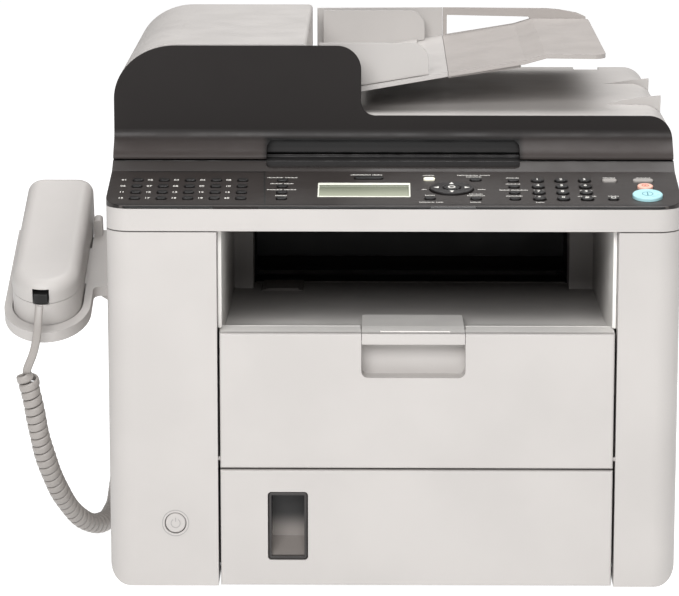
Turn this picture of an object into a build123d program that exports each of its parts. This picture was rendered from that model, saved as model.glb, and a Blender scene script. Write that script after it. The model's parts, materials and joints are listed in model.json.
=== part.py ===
"""Laser fax machine with a flatbed scanner, a document feeder, a paper cassette and a corded handset.

Every solid is drawn in body coordinates, in millimetres: X is 0 at the mid-plane of the cabinet and
grows to the right, Y is 0 at the front face and grows to the rear, and Z grows upwards from TABLE_Z.
save() shifts each node to the row frame, whose origin is on the table under the middle of the overall
width and depth.
"""
from build123d import *
from math import atan2, cos, degrees, pi, radians, sin, sqrt, tan
import os

# ---------------------------------------------------------------- driving dimensions
BODY_W = 390.0  # cabinet width
BODY_D = 371.0  # cabinet depth, rear cover included
HALF_W = BODY_W / 2
WALL = 2.5  # moulded wall thickness
GAP = 0.8  # gap between cabinet panels
FIT = 0.3  # gap between fixed neighbours
TABLE_Z = -7.0  # the table top
FOOT_H = 3.0  # rubber feet
CABINET_Z0 = TABLE_Z + FOOT_H  # underside of the cabinet
SEAM_Z = 244.0  # top of the lower cabinet
BAND_Z = 259.6  # top of the white band under the control panel
PLATEN_Z = 281.0  # top of the scanner housing
LID_Z = 283.0  # underside of the lid
LID_TOP_Z = 309.0  # low right part of the lid
ADF_TOP_Z = 358.0  # top of the document feeder
CORNER_R = 18.0  # plan radius of the front corners

DOOR_X0, DOOR_X1 = -118.0, 150.5  # front cover and cassette front
DOOR_GAP = 1.6
DOOR_Z0, DOOR_Z1 = 79.6, 174.0
DOOR_D = 24.0  # depth of the front cover
DOOR_PIVOT = (4.0, 85.6)  # Y, Z of the front cover's hinge
CASSETTE_Z1 = 78.2

PANEL_FOOT = (3.0, 262.0)  # Y, Z where the sloping key field starts
PANEL_CREASE = (70.0, 273.7)  # Y, Z of the crease behind the keys
PANEL_BACK = (80.0, 279.2)
PANEL_END_Y = 82.0
FASCIA_Y = (82.0, 96.0)  # foot and top of the black feeder fascia
LID_Y1 = 350.0
SCANNER_PIVOT = (360.3, 248.0)
LID_PIVOT = (353.0, 287.0)

CRADLE_X = -243.5  # mid-plane of handset and cradle
CRADLE_SLOPE = 18.0  # degrees, rising to the rear
CRADLE_FOOT = (55.0, 162.1)  # Y, Z of the front edge of the cradle's top face
CRADLE_HALF_W = 30.5
HANDSET_L, HANDSET_W = 163.5, 48.0

FRAME_X = (HALF_W + CRADLE_X - CRADLE_HALF_W) / 2  # middle of the overall width, cradle included
FRAME_Y = BODY_D / 2


# ---------------------------------------------------------------- helpers
def save(name, shape):
    """Write one node, shifted to the row frame."""
    parts = shape if isinstance(shape, list) else [shape]
    solids = [solid for part in parts for solid in part.solids()]
    moved = [Pos(-FRAME_X, -FRAME_Y, -TABLE_Z) * solid for solid in solids]
    export_step(moved[0] if len(moved) == 1 else Compound(children=moved), f"parts/{name}.step")


def block(x0, x1, y0, y1, z0, z1):
    """Box between two corners."""
    return Pos((x0 + x1) / 2, (y0 + y1) / 2, (z0 + z1) / 2) * Box(x1 - x0, y1 - y0, z1 - z0)


def rod_x(x0, x1, y, z, radius):
    return Pos((x0 + x1) / 2, y, z) * Rot(0, 90, 0) * Cylinder(radius, x1 - x0)


def rod_y(y0, y1, x, z, radius):
    return Pos(x, (y0 + y1) / 2, z) * Rot(90, 0, 0) * Cylinder(radius, y1 - y0)


def rod_z(z0, z1, x, y, radius):
    return Pos(x, y, (z0 + z1) / 2) * Cylinder(radius, z1 - z0)


def outline(points, rounds=()):
    """Polygon face with some corners rounded; rounds lists (corner point, radius)."""
    face = make_face(Polyline(*points, close=True))
    for corner, radius in rounds:
        nearest = face.vertices().sort_by_distance((corner[0], corner[1], 0))[0]
        face = fillet(nearest, radius)
    return face


def prism_x(x0, x1, points, rounds=()):
    """Outline in (Y, Z), extruded along X."""
    return extrude(Plane.YZ.offset(x0) * outline(points, rounds), x1 - x0)


def prism_y(y0, y1, points, rounds=()):
    """Outline in (X, Z), extruded along Y."""
    return extrude(Plane.XZ.offset(-y1) * outline(points, rounds), y1 - y0)


def prism_z(z0, z1, points, rounds=()):
    """Outline in (X, Y), extruded along Z."""
    return extrude(Plane.XY.offset(z0) * outline(points, rounds), z1 - z0)


def plan_outline(x0, x1, y0, y1, r_left, r_right):
    """Corner points and roundings of a plan whose front corners are rounded."""
    points = [(x0, y0), (x1, y0), (x1, y1), (x0, y1)]
    rounds = [((x0, y0), r_left)] * (r_left > 0) + [((x1, y0), r_right)] * (r_right > 0)
    return points, rounds


def gear(x0, x1, y, z, teeth, module, phase, hex_across):
    """Spur gear on an X axis with straight-flanked teeth and a hexagonal bore. Phase is in teeth."""
    pitch_r = teeth * module / 2
    points = []
    for i in range(teeth):
        for offset, radius in ((-0.34, -1.25), (-0.16, 0.9), (0.16, 0.9), (0.34, -1.25)):
            angle = 2 * pi * (i + phase + offset) / teeth
            r = pitch_r + radius * module
            points.append((y + r * cos(angle), z + r * sin(angle)))
    bore = [(y + hex_across / 2 * cos(k * pi / 3), z + hex_across / 2 * sin(k * pi / 3)) for k in range(6)]
    return prism_x(x0, x1, points) - prism_x(x0 - 1, x1 + 1, bore)


def hex_end(x0, x1, y, z, across):
    """Hexagonal shaft end that carries a gear."""
    points = [(y + across / 2 * cos(k * pi / 3), z + across / 2 * sin(k * pi / 3)) for k in range(6)]
    return prism_x(x0, x1, points)


# ---------------------------------------------------------------- cabinet
BUTTON_X, BUTTON_Z, BUTTON_R = -149.0, 40.5, 7.0
CABINET_Y1 = 356.0
BOTTOM_R = 14.0


def side_shell(x_out, x_in):
    """Side cover: outer wall, front column, top and bottom flanges, open to the inside and the rear."""
    left = x_out < x_in
    x0, x1 = min(x_out, x_in), max(x_out, x_in)
    points, rounds = plan_outline(x0, x1, 0, CABINET_Y1, CORNER_R * left, CORNER_R * (not left))
    outer = prism_z(CABINET_Z0, SEAM_Z - GAP / 2, points, rounds)
    sheared = outline(
        [(x0, CABINET_Z0), (x1, CABINET_Z0), (x1, SEAM_Z - GAP / 2), (x0, SEAM_Z - GAP / 2)],
        [((x_out, CABINET_Z0), BOTTOM_R)],
    )
    outer &= extrude(Plane.XZ.offset(-CABINET_Y1) * sheared, CABINET_Y1)
    in0, in1 = x0 + WALL, x1 - WALL
    points, rounds = plan_outline(
        in0, in1, WALL, CABINET_Y1 + 1, (CORNER_R - WALL) * left, (CORNER_R - WALL) * (not left)
    )
    inner = prism_z(CABINET_Z0 + WALL, SEAM_Z - GAP / 2 - WALL, points, rounds)
    inner &= extrude(
        Plane.XZ.offset(-CABINET_Y1 - 1)
        * outline(
            [(in0, CABINET_Z0 + WALL), (in1, CABINET_Z0 + WALL), (in1, SEAM_Z), (in0, SEAM_Z)],
            [((in0 if left else in1, CABINET_Z0 + WALL), BOTTOM_R - WALL)],
        ),
        CABINET_Y1 + 1,
    )
    open_side = block(
        x_in - WALL - 1 if left else x_in - 1,
        x_in + 1 if left else x_in + WALL + 1,
        14,
        CABINET_Y1 + 1,
        CABINET_Z0 + WALL,
        SEAM_Z - GAP / 2 - WALL,
    )
    return outer - inner - open_side


JACK_Y, JACK_Z = 285.0, 56.0  # handset jack in the left wall
JACK_W, JACK_H = 14.0, 12.0


def make_left_cover():
    shell = side_shell(-HALF_W, DOOR_X0 - DOOR_GAP)
    shell += rod_x(DOOR_X0 - DOOR_GAP - 1, DOOR_X0 + 5, *DOOR_PIVOT, 1.5)
    shell -= rod_y(-1, WALL + 1, BUTTON_X, BUTTON_Z, BUTTON_R + 0.5)
    shell -= block(-HALF_W - 1, -HALF_W + WALL + 1, JACK_Y - JACK_W / 2, JACK_Y + JACK_W / 2,
                   JACK_Z - JACK_H / 2, JACK_Z + JACK_H / 2)
    for z in VENT_ROWS:
        shell -= block(-HALF_W - 1, -HALF_W + WALL + 1, 215, 330, z, z + 2.5)
    return shell


VENT_ROWS = [150 + 7 * i for i in range(8)]


def make_right_cover():
    shell = side_shell(HALF_W, DOOR_X1 + DOOR_GAP)
    shell += rod_x(DOOR_X1 - 5, DOOR_X1 + DOOR_GAP + 1, *DOOR_PIVOT, 1.5)
    for z in VENT_ROWS:
        shell -= block(HALF_W - WALL - 1, HALF_W + 1, 215, 330, z, z + 2.5)
    return shell


INLET_X, INLET_Z = 120.0, 30.0
INLET_W, INLET_H = 28.0, 20.5
PORT_X, PORT_Z = -120.0, 60.0
PORT_W, PORT_H = 16.0, 40.0


def make_rear_cover():
    y0, y1 = CABINET_Y1 + GAP, BODY_D
    outer = block(-HALF_W + 2, HALF_W - 2, y0, y1, CABINET_Z0 + 4, 238)
    outer = fillet(outer.faces().sort_by(Axis.Y)[-1].edges(), 5)
    shell = outer - block(-HALF_W + 5, HALF_W - 5, y0 - 1, y1 - WALL, CABINET_Z0 + 7, 235)
    shell -= block(INLET_X - INLET_W / 2, INLET_X + INLET_W / 2, y0, y1 + 1, INLET_Z - INLET_H / 2,
                   INLET_Z + INLET_H / 2)
    shell -= block(PORT_X - PORT_W / 2, PORT_X + PORT_W / 2, y0, y1 + 1, PORT_Z - PORT_H / 2,
                   PORT_Z + PORT_H / 2)
    for x in range(-60, 61, 8):
        shell -= block(x, x + 3.5, y1 - WALL - 1, y1 + 1, 190, 222)
    return shell


PAN_TOP = 8.0
FEET = [(x, y) for x in (-165, 165) for y in (38, 325)]


def make_base_pan():
    pan = block(-180, 180, 16, 352, PAN_TOP - 2.2, PAN_TOP)
    for y in (16, 349.8):
        pan += block(DOOR_X0 + 1, DOOR_X1 - 1, y, y + 2.2, CABINET_Z0 + 0.4, PAN_TOP - 2.2)
    pan += block(DOOR_X0 + 1, DOOR_X1 - 1, 16, 352, CABINET_Z0 + 0.4, CABINET_Z0 + 1.6)
    for x in (-180, 177.8):
        pan += block(x, x + 2.2, 16, 352, CABINET_Z0 + WALL + FIT, PAN_TOP - 2.2)
    for x in (-70, 0, 100):
        pan += block(x, x + 3, 30, 340, PAN_TOP, CASSETTE_FLOOR - TRAY_T - FIT)
    return pan


def make_feet():
    return [rod_z(TABLE_Z, CABINET_Z0, x, y, 8.0) for x, y in FEET]


# shafts between the side plates: name to (Y, Z, shaft radius)
SHAFTS = {
    "pickup": (225.0, 84.0, 3.0),
    "drum": (250.0, 127.0, 4.0),
    "fuser": (318.0, 165.0, 4.0),
    "pressure": (338.8, 165.0, 4.0),
    "delivery": (309.0, 208.0, 3.0),
}
PLATE_L, PLATE_R = -123.5, 154.5  # inner faces of the side plates
PLATE_T = 1.5
BORE_PLAY = 0.06
GEAR_MODULE = 1.5
DRUM_TEETH, PINION_TEETH = 36, 14
GEAR_X = (157.0, 163.0)
MESH_GAP = 0.25  # extra centre distance



def bearing(a, b):
    """Direction from a to b in the (Y, Z) plane, in turns."""
    return atan2(b[1] - a[1], b[0] - a[0]) / (2 * pi)


DRUM_C = SHAFTS["drum"][:2]
PINION_D = GEAR_MODULE * (DRUM_TEETH + PINION_TEETH) / 2 + MESH_GAP
PINION = (DRUM_C[0] - PINION_D, DRUM_C[1])
MOTOR_X0 = GEAR_X[1] + 0.6


def make_side_plates():
    plates = []
    for x0 in (PLATE_L - PLATE_T, PLATE_R):
        plate = block(x0, x0 + PLATE_T, 30, 350, PAN_TOP, 160)
        plate += block(x0, x0 + PLATE_T, 296, 350, 160, 240.7)
        plate += block(x0, x0 + PLATE_T, 350, 364, 238.4, 240.7)
        plate += block(x0, x0 + PLATE_T, 356.6, 364, 240.7, 243.5)
        plate += block(x0, x0 + PLATE_T, 358.2, 364, 243.5, 251)
        plate -= rod_x(x0 - 1, x0 + PLATE_T + 1, *SCANNER_PIVOT, 1.5 + BORE_PLAY)
        for y, z, radius in SHAFTS.values():
            plate -= rod_x(x0 - 1, x0 + PLATE_T + 1, y, z, radius + BORE_PLAY)
        if x0 > 0:
            for z in (PINION[1] - 20, PINION[1] + 20):
                plate += rod_x(x0 + PLATE_T, MOTOR_X0, PINION[0] - 20, z, 3)
        plates.append(plate)
    return plates


# ---------------------------------------------------------------- output tray and toner cover
TRAY_X0, TRAY_X1 = DOOR_X0 - DOOR_GAP + 0.2, DOOR_X1 + DOOR_GAP - 0.2
TRAY_T = 2.4
STEP_Y = 223.0  # where the paper bay narrows
BAY_X0, BAY_X1 = -103.0, 132.0
RIDGE_Y = 250.0  # front edge of the toner cover
BAY_BACK_Y = 299.0
TRAY_TOP_Z = 243.4
TAB_X0, TAB_X1, TAB_Y0 = -96.0, -66.0, 213.0
HANDLE_X0, HANDLE_X1 = -21.6, 49.2
HANDLE_Y1 = 88.0
TONER_PIVOT = (294.5, 154.0)
BAY_MID, BAY_HALF = (BAY_X0 + BAY_X1) / 2, (BAY_X1 - BAY_X0) / 2
KNUCKLE = (14.0, 6.0)  # distances of each knuckle's ends from the bay's side


def floor_z(y):
    """Height of the paper bay's floor: it dips behind the front edge and then falls slowly."""
    if y < 93:
        return 164.0 + 10.0 * ((93 - y) / 67.4) ** 2
    return 164.0 - 5.0 * (y - 93) / 157


def make_output_tray():
    y0 = DOOR_D + 1.6
    stations = [y0, 38, 50, 62, 77, 93, 150, RIDGE_Y]
    top = [(y, floor_z(y)) for y in stations]
    bottom = [(RIDGE_Y, 155.5), (93, 160.0), (60, 163.0), (y0, 166.0)]
    tray = prism_x(TRAY_X0, TRAY_X1, top + bottom)
    for x0, x1, bay_x0, bay_x1 in ((TRAY_X0, TRAY_X0 + TRAY_T, TRAY_X0 + TRAY_T, BAY_X0),
                                   (TRAY_X1 - TRAY_T, TRAY_X1, BAY_X1, TRAY_X1 - TRAY_T)):
        tray += block(x0, x1, y0, STEP_Y, 158, TRAY_TOP_Z)
        tray += block(min(x0, bay_x0), max(x1, bay_x1), STEP_Y, BAY_BACK_Y, 158, TRAY_TOP_Z)
        tray += block(x0, x1, 14.3, y0, DOOR_Z1 + 0.9, TRAY_TOP_Z)
    # throat behind the toner cover, with the delivery slot
    tray += block(BAY_X0 - 4, BAY_X1 + 4, BAY_BACK_Y, BAY_BACK_Y + 3, 170, 200)
    tray += block(BAY_X0 - 4, BAY_X1 + 4, BAY_BACK_Y, BAY_BACK_Y + 3, 216, TRAY_TOP_Z)
    for side in (-1, 1):
        x0, x1 = sorted(BAY_MID + side * reach for reach in (BAY_HALF - KNUCKLE[1] + 0.6, BAY_HALF + 6))
        tray += block(x0, x1, 291.4, BAY_BACK_Y + 3, 150, TONER_PIVOT[1] + 3.2)
        x0, x1 = sorted(BAY_MID + side * reach for reach in (BAY_HALF, BAY_HALF + 6))
        tray += block(x0, x1, BAY_BACK_Y - 1, BAY_BACK_Y + 3, 150, TRAY_TOP_Z)
    tray -= rod_x(BAY_MID - BAY_HALF - 1, BAY_MID + BAY_HALF + 1, *TONER_PIVOT, 2.4 + BORE_PLAY)
    tray -= block(HANDLE_X0 - 0.6, HANDLE_X1 + 0.6, 20, HANDLE_Y1 + 0.8, 165.2, 180)
    tray -= block(TAB_X0 - 0.7, TAB_X1 + 0.7, TAB_Y0 - 0.8, RIDGE_Y + 1, 157.6, 170)
    return tray


def make_toner_cover():
    profile = [(RIDGE_Y + 0.5, 159.6), (RIDGE_Y + 4, 159.8), (291, 157.0),
               (291, 154.0), (RIDGE_Y + 3, 156.4), (RIDGE_Y + 0.5, 156.4)]
    cover = prism_x(BAY_X0 + 1, BAY_X1 - 1, profile)
    cover += block(TAB_X0, TAB_X1, TAB_Y0, RIDGE_Y + 3, 158.2, 160.6)
    cover += block(TAB_X0 + 3, TAB_X1 - 3, TAB_Y0 + 2, RIDGE_Y - 4, 160.6, 161.2)
    for side in (-1, 1):
        x0, x1 = sorted(BAY_MID + side * reach for reach in (BAY_HALF - KNUCKLE[1] + 0.3, BAY_HALF))
        cover -= block(x0, x1, 284, 295, 150, 160)
        x0, x1 = sorted(BAY_MID + side * (BAY_HALF - reach) for reach in KNUCKLE)
        cover += block(x0, x1, 280, TONER_PIVOT[0], 152.4, 156.4) + rod_x(x0, x1, *TONER_PIVOT, 2.4)
        x0, x1 = sorted(BAY_MID + side * (BAY_HALF - reach) for reach in (KNUCKLE[1], 1.5))
        cover += rod_x(x0, x1, *TONER_PIVOT, 2.4)
    return cover


# ---------------------------------------------------------------- front cover
RECESS_Z0, RECESS_Z1 = 143.2, 165.6


def make_front_cover():
    outer = block(DOOR_X0, DOOR_X1, 0, DOOR_D, DOOR_Z0, DOOR_Z1)
    outer = fillet(outer.faces().sort_by(Axis.Y)[0].edges(), 1.6)
    shell = outer - block(DOOR_X0 + WALL, DOOR_X1 - WALL, WALL, DOOR_D + 1, DOOR_Z0 + WALL, DOOR_Z1 - WALL)
    pocket = prism_y(-1, 14.5, [(HANDLE_X0, RECESS_Z0), (HANDLE_X1, RECESS_Z0), (HANDLE_X1, DOOR_Z1 + 1),
                                (HANDLE_X0, DOOR_Z1 + 1)],
                     [((HANDLE_X0, RECESS_Z0), 4.5), ((HANDLE_X1, RECESS_Z0), 4.5)])
    wall = block(HANDLE_X0 - 2, HANDLE_X1 + 2, 1, 16.5, RECESS_Z0 - 2, DOOR_Z1 - 1)
    shell = shell + wall - pocket
    shell -= block(HANDLE_X0 - 0.5, HANDLE_X1 + 0.5, 14, DOOR_D + 1, RECESS_Z1, DOOR_Z1 + 1)
    for x0 in (DOOR_X0 + WALL, DOOR_X1 - WALL - 3):
        shell += block(x0, x0 + 3, WALL - 0.5, 12, DOOR_Z0 + WALL - 0.5, 96)
    shell -= rod_x(DOOR_X0 - 1, DOOR_X0 + 7, *DOOR_PIVOT, 1.5 + BORE_PLAY)
    shell -= rod_x(DOOR_X1 - 7, DOOR_X1 + 1, *DOOR_PIVOT, 1.5 + BORE_PLAY)
    return shell


def make_front_cover_handle():
    """Bent grip plate: a front lip over the recess and a tongue that lies in the tray's notch."""
    top = [(0.2, 173.8), (25, 173.9), (48, 171.9), (HANDLE_Y1, 168.6)]
    under = [(HANDLE_Y1, 166.6), (48, 169.2), (24, 170.2), (6, 169.2), (4.5, 166.0), (0.2, 166.0)]
    plate = prism_x(HANDLE_X0 + 0.3, HANDLE_X1 - 0.3, top + under)
    plate -= block(-9, 39, 6.0, 9.0, 172.8, 175)
    plate = fillet(plate.edges().filter_by(Axis.X).group_by(Axis.Y)[0], 0.9)
    return fillet(plate.edges().filter_by(Axis.Z).group_by(Axis.Y)[-1], 4.0)


# ---------------------------------------------------------------- paper cassette
WINDOW_X0, WINDOW_X1, WINDOW_Z0, WINDOW_Z1 = -85.6, -58.0, 14.4, 62.8
CASSETTE_X0, CASSETTE_X1 = -112.0, 144.5
CASSETTE_Y1 = 262.0
CASSETTE_FLOOR = 14.0


def make_cassette_front():
    panel = block(DOOR_X0, DOOR_X1, 0, 8, CABINET_Z0 + 0.4, CASSETTE_Z1)
    panel = fillet(panel.faces().sort_by(Axis.Y)[0].edges(), 1.4)
    panel -= block(DOOR_X0 + 3, DOOR_X1 - 3, WALL, 9, CABINET_Z0 + 4, CASSETTE_Z1 - 3)
    window = [(WINDOW_X0, WINDOW_Z0), (WINDOW_X1, WINDOW_Z0),
              (WINDOW_X1, WINDOW_Z1), (WINDOW_X0, WINDOW_Z1)]
    panel -= prism_y(-1, WALL + 1, window, [(corner, 2.5) for corner in window])
    return panel


def make_window_bezel():
    """Deep rectangular pocket with a bevelled rim and a floor that slopes to the front."""
    x0, x1, z0, z1 = WINDOW_X0 + 0.3, WINDOW_X1 - 0.3, WINDOW_Z0 + 0.3, WINDOW_Z1 - 0.3
    ring = [(x0, z0), (x1, z0), (x1, z1), (x0, z1)]
    bezel = prism_y(0.6, 22, ring, [(corner, 2.2) for corner in ring])
    bezel = chamfer(bezel.faces().sort_by(Axis.Y)[0].edges(), 0.8)
    pocket = [(-1, z0 + 2.2), (2, z0 + 2.2), (20, z0 + 12), (20, z1 - 2.2), (-1, z1 - 2.2)]
    bezel += block(x0 - 3, x1 + 3, WALL + FIT, 4.6, z0 - 3, z1 + 3)
    return bezel - prism_x(x0 + 2.2, x1 - 2.2, pocket)


def make_cassette_tray():
    x0, x1, z0, z1 = CASSETTE_X0, CASSETTE_X1, CASSETTE_FLOOR - TRAY_T, 60.0
    tub = block(x0, x1, WALL + FIT, CASSETTE_Y1, z0, z1)
    tub -= block(x0 + TRAY_T, x1 - TRAY_T, 26.4, CASSETTE_Y1 - TRAY_T, z0 + TRAY_T, z1 + 1)
    tub -= block(x0 + TRAY_T, x1 - TRAY_T, 1, 24, z0 - 1, z1 + 1)
    for x in (-40, 70):
        tub -= block(x, x + 24, 55, 112, z0 - 1, z0 + TRAY_T + 1)
    tub -= block(-60, 95, CASSETTE_Y1 - 4, CASSETTE_Y1 + 1, 44, z1 + 1)
    for x in (LIFT_X0, LIFT_X1 - 6):
        tub += block(x - 5, x - 1, LIFT_PIVOT[0] - 3, LIFT_PIVOT[0] + 3, z0 + 1, LIFT_PIVOT[1] + 3)
    tub -= rod_x(LIFT_X0 - 6, LIFT_X1 - 0.5, *LIFT_PIVOT, 1.5 + BORE_PLAY)
    return tub


LIFT_X0, LIFT_X1 = -85.0, 120.0
LIFT_PIVOT = (124.0, 18.5)


def make_paper_lift_plate():
    plate = block(LIFT_X0, LIFT_X1, 127, 254, 17.6, 19.0)
    plate += block(LIFT_X0, LIFT_X1, 121.8, 127, 17.6, 20.7)
    plate += block(LIFT_X0 + 80, LIFT_X0 + 125, 236, 254, 19.0, 20.0)
    plate += rod_x(LIFT_X0 - 4.6, LIFT_X1, *LIFT_PIVOT, 1.5)
    plate -= block(LIFT_X1 - 12, LIFT_X1 - 5.4, 118, 129, 10, 30)
    plate += rod_x(LIFT_X1 - 13, LIFT_X1 - 5, *LIFT_PIVOT, 1.5)
    return plate


GUIDE_Y0, GUIDE_Y1 = 62.0, 106.0


def make_cassette_guide(side):
    """Side fence on a foot that slides on the cassette floor; side is -1 on the left and 1 on the right."""
    face = BAY_MID + 1.75 + side * 106
    foot = sorted((face + side * 2, face - side * 22))
    wall = sorted((face, face + side * 2))
    guide = block(foot[0], foot[1], GUIDE_Y0, GUIDE_Y1, CASSETTE_FLOOR + 0.7, CASSETTE_FLOOR + 2.7)
    guide += block(wall[0], wall[1], GUIDE_Y0, GUIDE_Y1, CASSETTE_FLOOR + 2.7, 52)
    return fillet(guide.edges().filter_by(Axis.X).group_by(Axis.Z)[-1], 4)


# ---------------------------------------------------------------- print engine
ROLL_X0, ROLL_X1 = -108.0, 138.0


def shaft(name, x0=PLATE_L - 4, x1=PLATE_R + 4, hexagon=None):
    y, z, radius = SHAFTS[name]
    rod = rod_x(x0, x1, y, z, radius)
    if hexagon:
        rod += hex_end(x1 - 0.5, hexagon, y, z, radius * 1.7)
    return rod


def make_pickup_roller():
    y, z, _ = SHAFTS["pickup"]
    body = shaft("pickup") + rod_x(-8, 38, y, z, 14)
    return body + rod_x(PLATE_L - 12, PLATE_L - 4, y, z, 9)




def make_drum():
    y, z, _ = SHAFTS["drum"]
    core = shaft("drum", x1=GEAR_X[0] - 0.2, hexagon=GEAR_X[1] + 1)
    return core + rod_x(ROLL_X0 - 4, ROLL_X1 + 4, y, z, 12)



def make_fuser_roller():
    y, z, _ = SHAFTS["fuser"]
    return shaft("fuser") + rod_x(ROLL_X0, ROLL_X1, y, z, 10)


def make_pressure_roller():
    y, z, _ = SHAFTS["pressure"]
    return shaft("pressure") + rod_x(ROLL_X0, ROLL_X1, y, z, 10)


def make_delivery_roller():
    y, z, _ = SHAFTS["delivery"]
    rolls = shaft("delivery")
    for x in (-84, -24, 36, 96):
        rolls += rod_x(x, x + 18, y, z, 6.5)
    return rolls


def make_toner_cartridge():
    """Toner hopper with a cut-away side for the drum and a carrying grip."""
    y, z, _ = SHAFTS["drum"]
    profile = [(168, 112), (206, 101), (252, 108), (252, 146), (232, 151), (176, 151), (168, 144)]
    body = prism_x(ROLL_X0 - 6, ROLL_X1 + 6, profile, [((168, 112), 5), ((176, 151), 4)])
    body -= rod_x(ROLL_X0 - 4.5, ROLL_X1 + 4.5, y, z, 13)
    body -= rod_x(ROLL_X0 - 8, ROLL_X1 + 8, y, z, SHAFTS["drum"][2] + BORE_PLAY)
    body -= block(ROLL_X0 - 4.5, ROLL_X1 + 4.5, 247, 262, 90, 160)
    body += prism_x(-30, 60, [(176, 150), (196, 150), (196, 153.5), (176, 153.5)])
    return body


def make_laser_unit():
    body = block(-70, 100, 56, 150, 112, 148)
    body = chamfer(body.edges().filter_by(Axis.Z), 14)
    body += rod_z(148, 152, 15, 92, 22)
    body -= block(-55, 85, 147, 151, 126, 132)
    body += block(-90, 120, 70, 84, 108, 112)
    return body



def make_drum_gear():
    phase = DRUM_TEETH * bearing(DRUM_C, PINION) + 0.5  # a gap faces the pinion
    return gear(*GEAR_X, *DRUM_C, DRUM_TEETH, GEAR_MODULE, phase, 6.9)


def make_motor_pinion():
    body = gear(*GEAR_X, *PINION, PINION_TEETH, GEAR_MODULE, PINION_TEETH * bearing(PINION, DRUM_C), 4)
    return body + rod_x(GEAR_X[0], MOTOR_X0 + 8, *PINION, 2.4)


def make_main_motor():
    y, z = PINION
    body = block(MOTOR_X0, MOTOR_X0 + 1.6, y - 24, y + 21, z - 24, z + 24)
    body += rod_x(MOTOR_X0 + 1.6, MOTOR_X0 + 25, y, z, 20)
    return body - rod_x(MOTOR_X0 - 1, MOTOR_X0 + 9, y, z, 2.4 + BORE_PLAY)


def make_main_board():
    board = block(-141.6, -140, 60, 300, 20, 150)
    for y, z, dy, dz, height in ((90, 60, 18, 18, 14), (120, 110, 30, 30, 4), (180, 60, 26, 40, 22),
                                 (230, 110, 16, 16, 10), (262, 50, 20, 30, 26), (150, 130, 44, 12, 6)):
        board += block(-141.6 - height, -141.6, y - dy / 2, y + dy / 2, z - dz / 2, z + dz / 2)
    for z in (28, 142):
        board += block(-140, PLATE_L - PLATE_T, 64, 70, z - 3, z + 3)
        board += block(-140, PLATE_L - PLATE_T, 288, 294, z - 3, z + 3)
    return board





def make_rear_sockets():
    """Mains inlet with three blades, and the line, telephone and USB sockets."""
    y1 = BODY_D - WALL
    inlet = block(INLET_X - INLET_W / 2 + FIT, INLET_X + INLET_W / 2 - FIT, y1 - 24, BODY_D - FIT,
                  INLET_Z - INLET_H / 2 + FIT, INLET_Z + INLET_H / 2 - FIT)
    inlet -= block(INLET_X - 12, INLET_X + 12, y1 - 16, BODY_D + 1, INLET_Z - 8, INLET_Z + 8)
    for dx, dz in ((-7, -2), (7, -2), (0, 2)):
        x, z = INLET_X + dx, INLET_Z + dz
        inlet += block(x - 1, x + 1, y1 - 17, BODY_D - 5, z - 2, z + 2)
    ports = block(PORT_X - PORT_W / 2 + FIT, PORT_X + PORT_W / 2 - FIT, y1 - 18, BODY_D - FIT,
                  PORT_Z - PORT_H / 2 + FIT, PORT_Z + PORT_H / 2 - FIT)
    for dz, w, h in ((-12, 11.5, 8), (0, 11.5, 8), (13, 12, 11)):
        z = PORT_Z + dz
        ports -= block(PORT_X - w / 2, PORT_X + w / 2, y1 - 14, BODY_D + 1, z - h / 2, z + h / 2)
    return [inlet, ports]


def make_handset_jack():
    body = block(-HALF_W + 0.3, -HALF_W + 16, JACK_Y - JACK_W / 2 + 0.3, JACK_Y + JACK_W / 2 - 0.3,
                 JACK_Z - JACK_H / 2 + 0.3, JACK_Z + JACK_H / 2 - 0.3)
    return body - block(-HALF_W - 1, -HALF_W + 12, JACK_Y - 4.2, JACK_Y + 4.2, JACK_Z - 3.7, JACK_Z + 3.7)


def make_power_button():
    cap = rod_y(0.4, 3.6, BUTTON_X, BUTTON_Z, BUTTON_R)
    cap = chamfer(cap.faces().sort_by(Axis.Y)[0].edges(), 0.6)
    stem = rod_y(3.6, 12, BUTTON_X, BUTTON_Z, 3)
    return cap + stem + rod_y(3.6, 5, BUTTON_X, BUTTON_Z, BUTTON_R + 1.5)





# ---------------------------------------------------------------- handset, cradle and cord
CRADLE = Plane(
    origin=(CRADLE_X, *CRADLE_FOOT),
    x_dir=(1, 0, 0),
    z_dir=(0, -sin(radians(CRADLE_SLOPE)), cos(radians(CRADLE_SLOPE))),
)  # local x across, y up the slope, z off the cradle's face
CRADLE_T = 8.0
CRADLE_L = 150.0
ARM_Y0 = 66.0  # where the arm to the cabinet starts, up the slope
WALL_LOCAL_X = -HALF_W - CRADLE_X  # the cabinet's wall, across
NOSE_L = 40.0  # length of the half-elliptical front end
POCKET_FRONT = 10.0
SWITCH_Y = 96.0  # hook switch, up the slope
HANDSET_Y0 = 11.5
SPLIT_Z = 16.5
HANDSET_TOP = 32.0
HANDSET_LOW = -5.0
JACK_LOCAL_X = -1.5


def nosed_outline(half_w, y0, nose, y1):
    """Closed outline with a half-elliptical front end and a straight rear end."""
    front = EllipticalCenterArc((0, y0 + nose), half_w, nose, start_angle=180, arc_size=180)
    side = Polyline((half_w, y0 + nose), (half_w, y1), (-half_w, y1), (-half_w, y0 + nose))
    return make_face(front + side)


def slab(face, z0, z1):
    """Local outline extruded between two local heights."""
    return extrude(Plane.XY.offset(z0) * face, z1 - z0)


def on_cradle(shape):
    return CRADLE.location * shape


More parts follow.
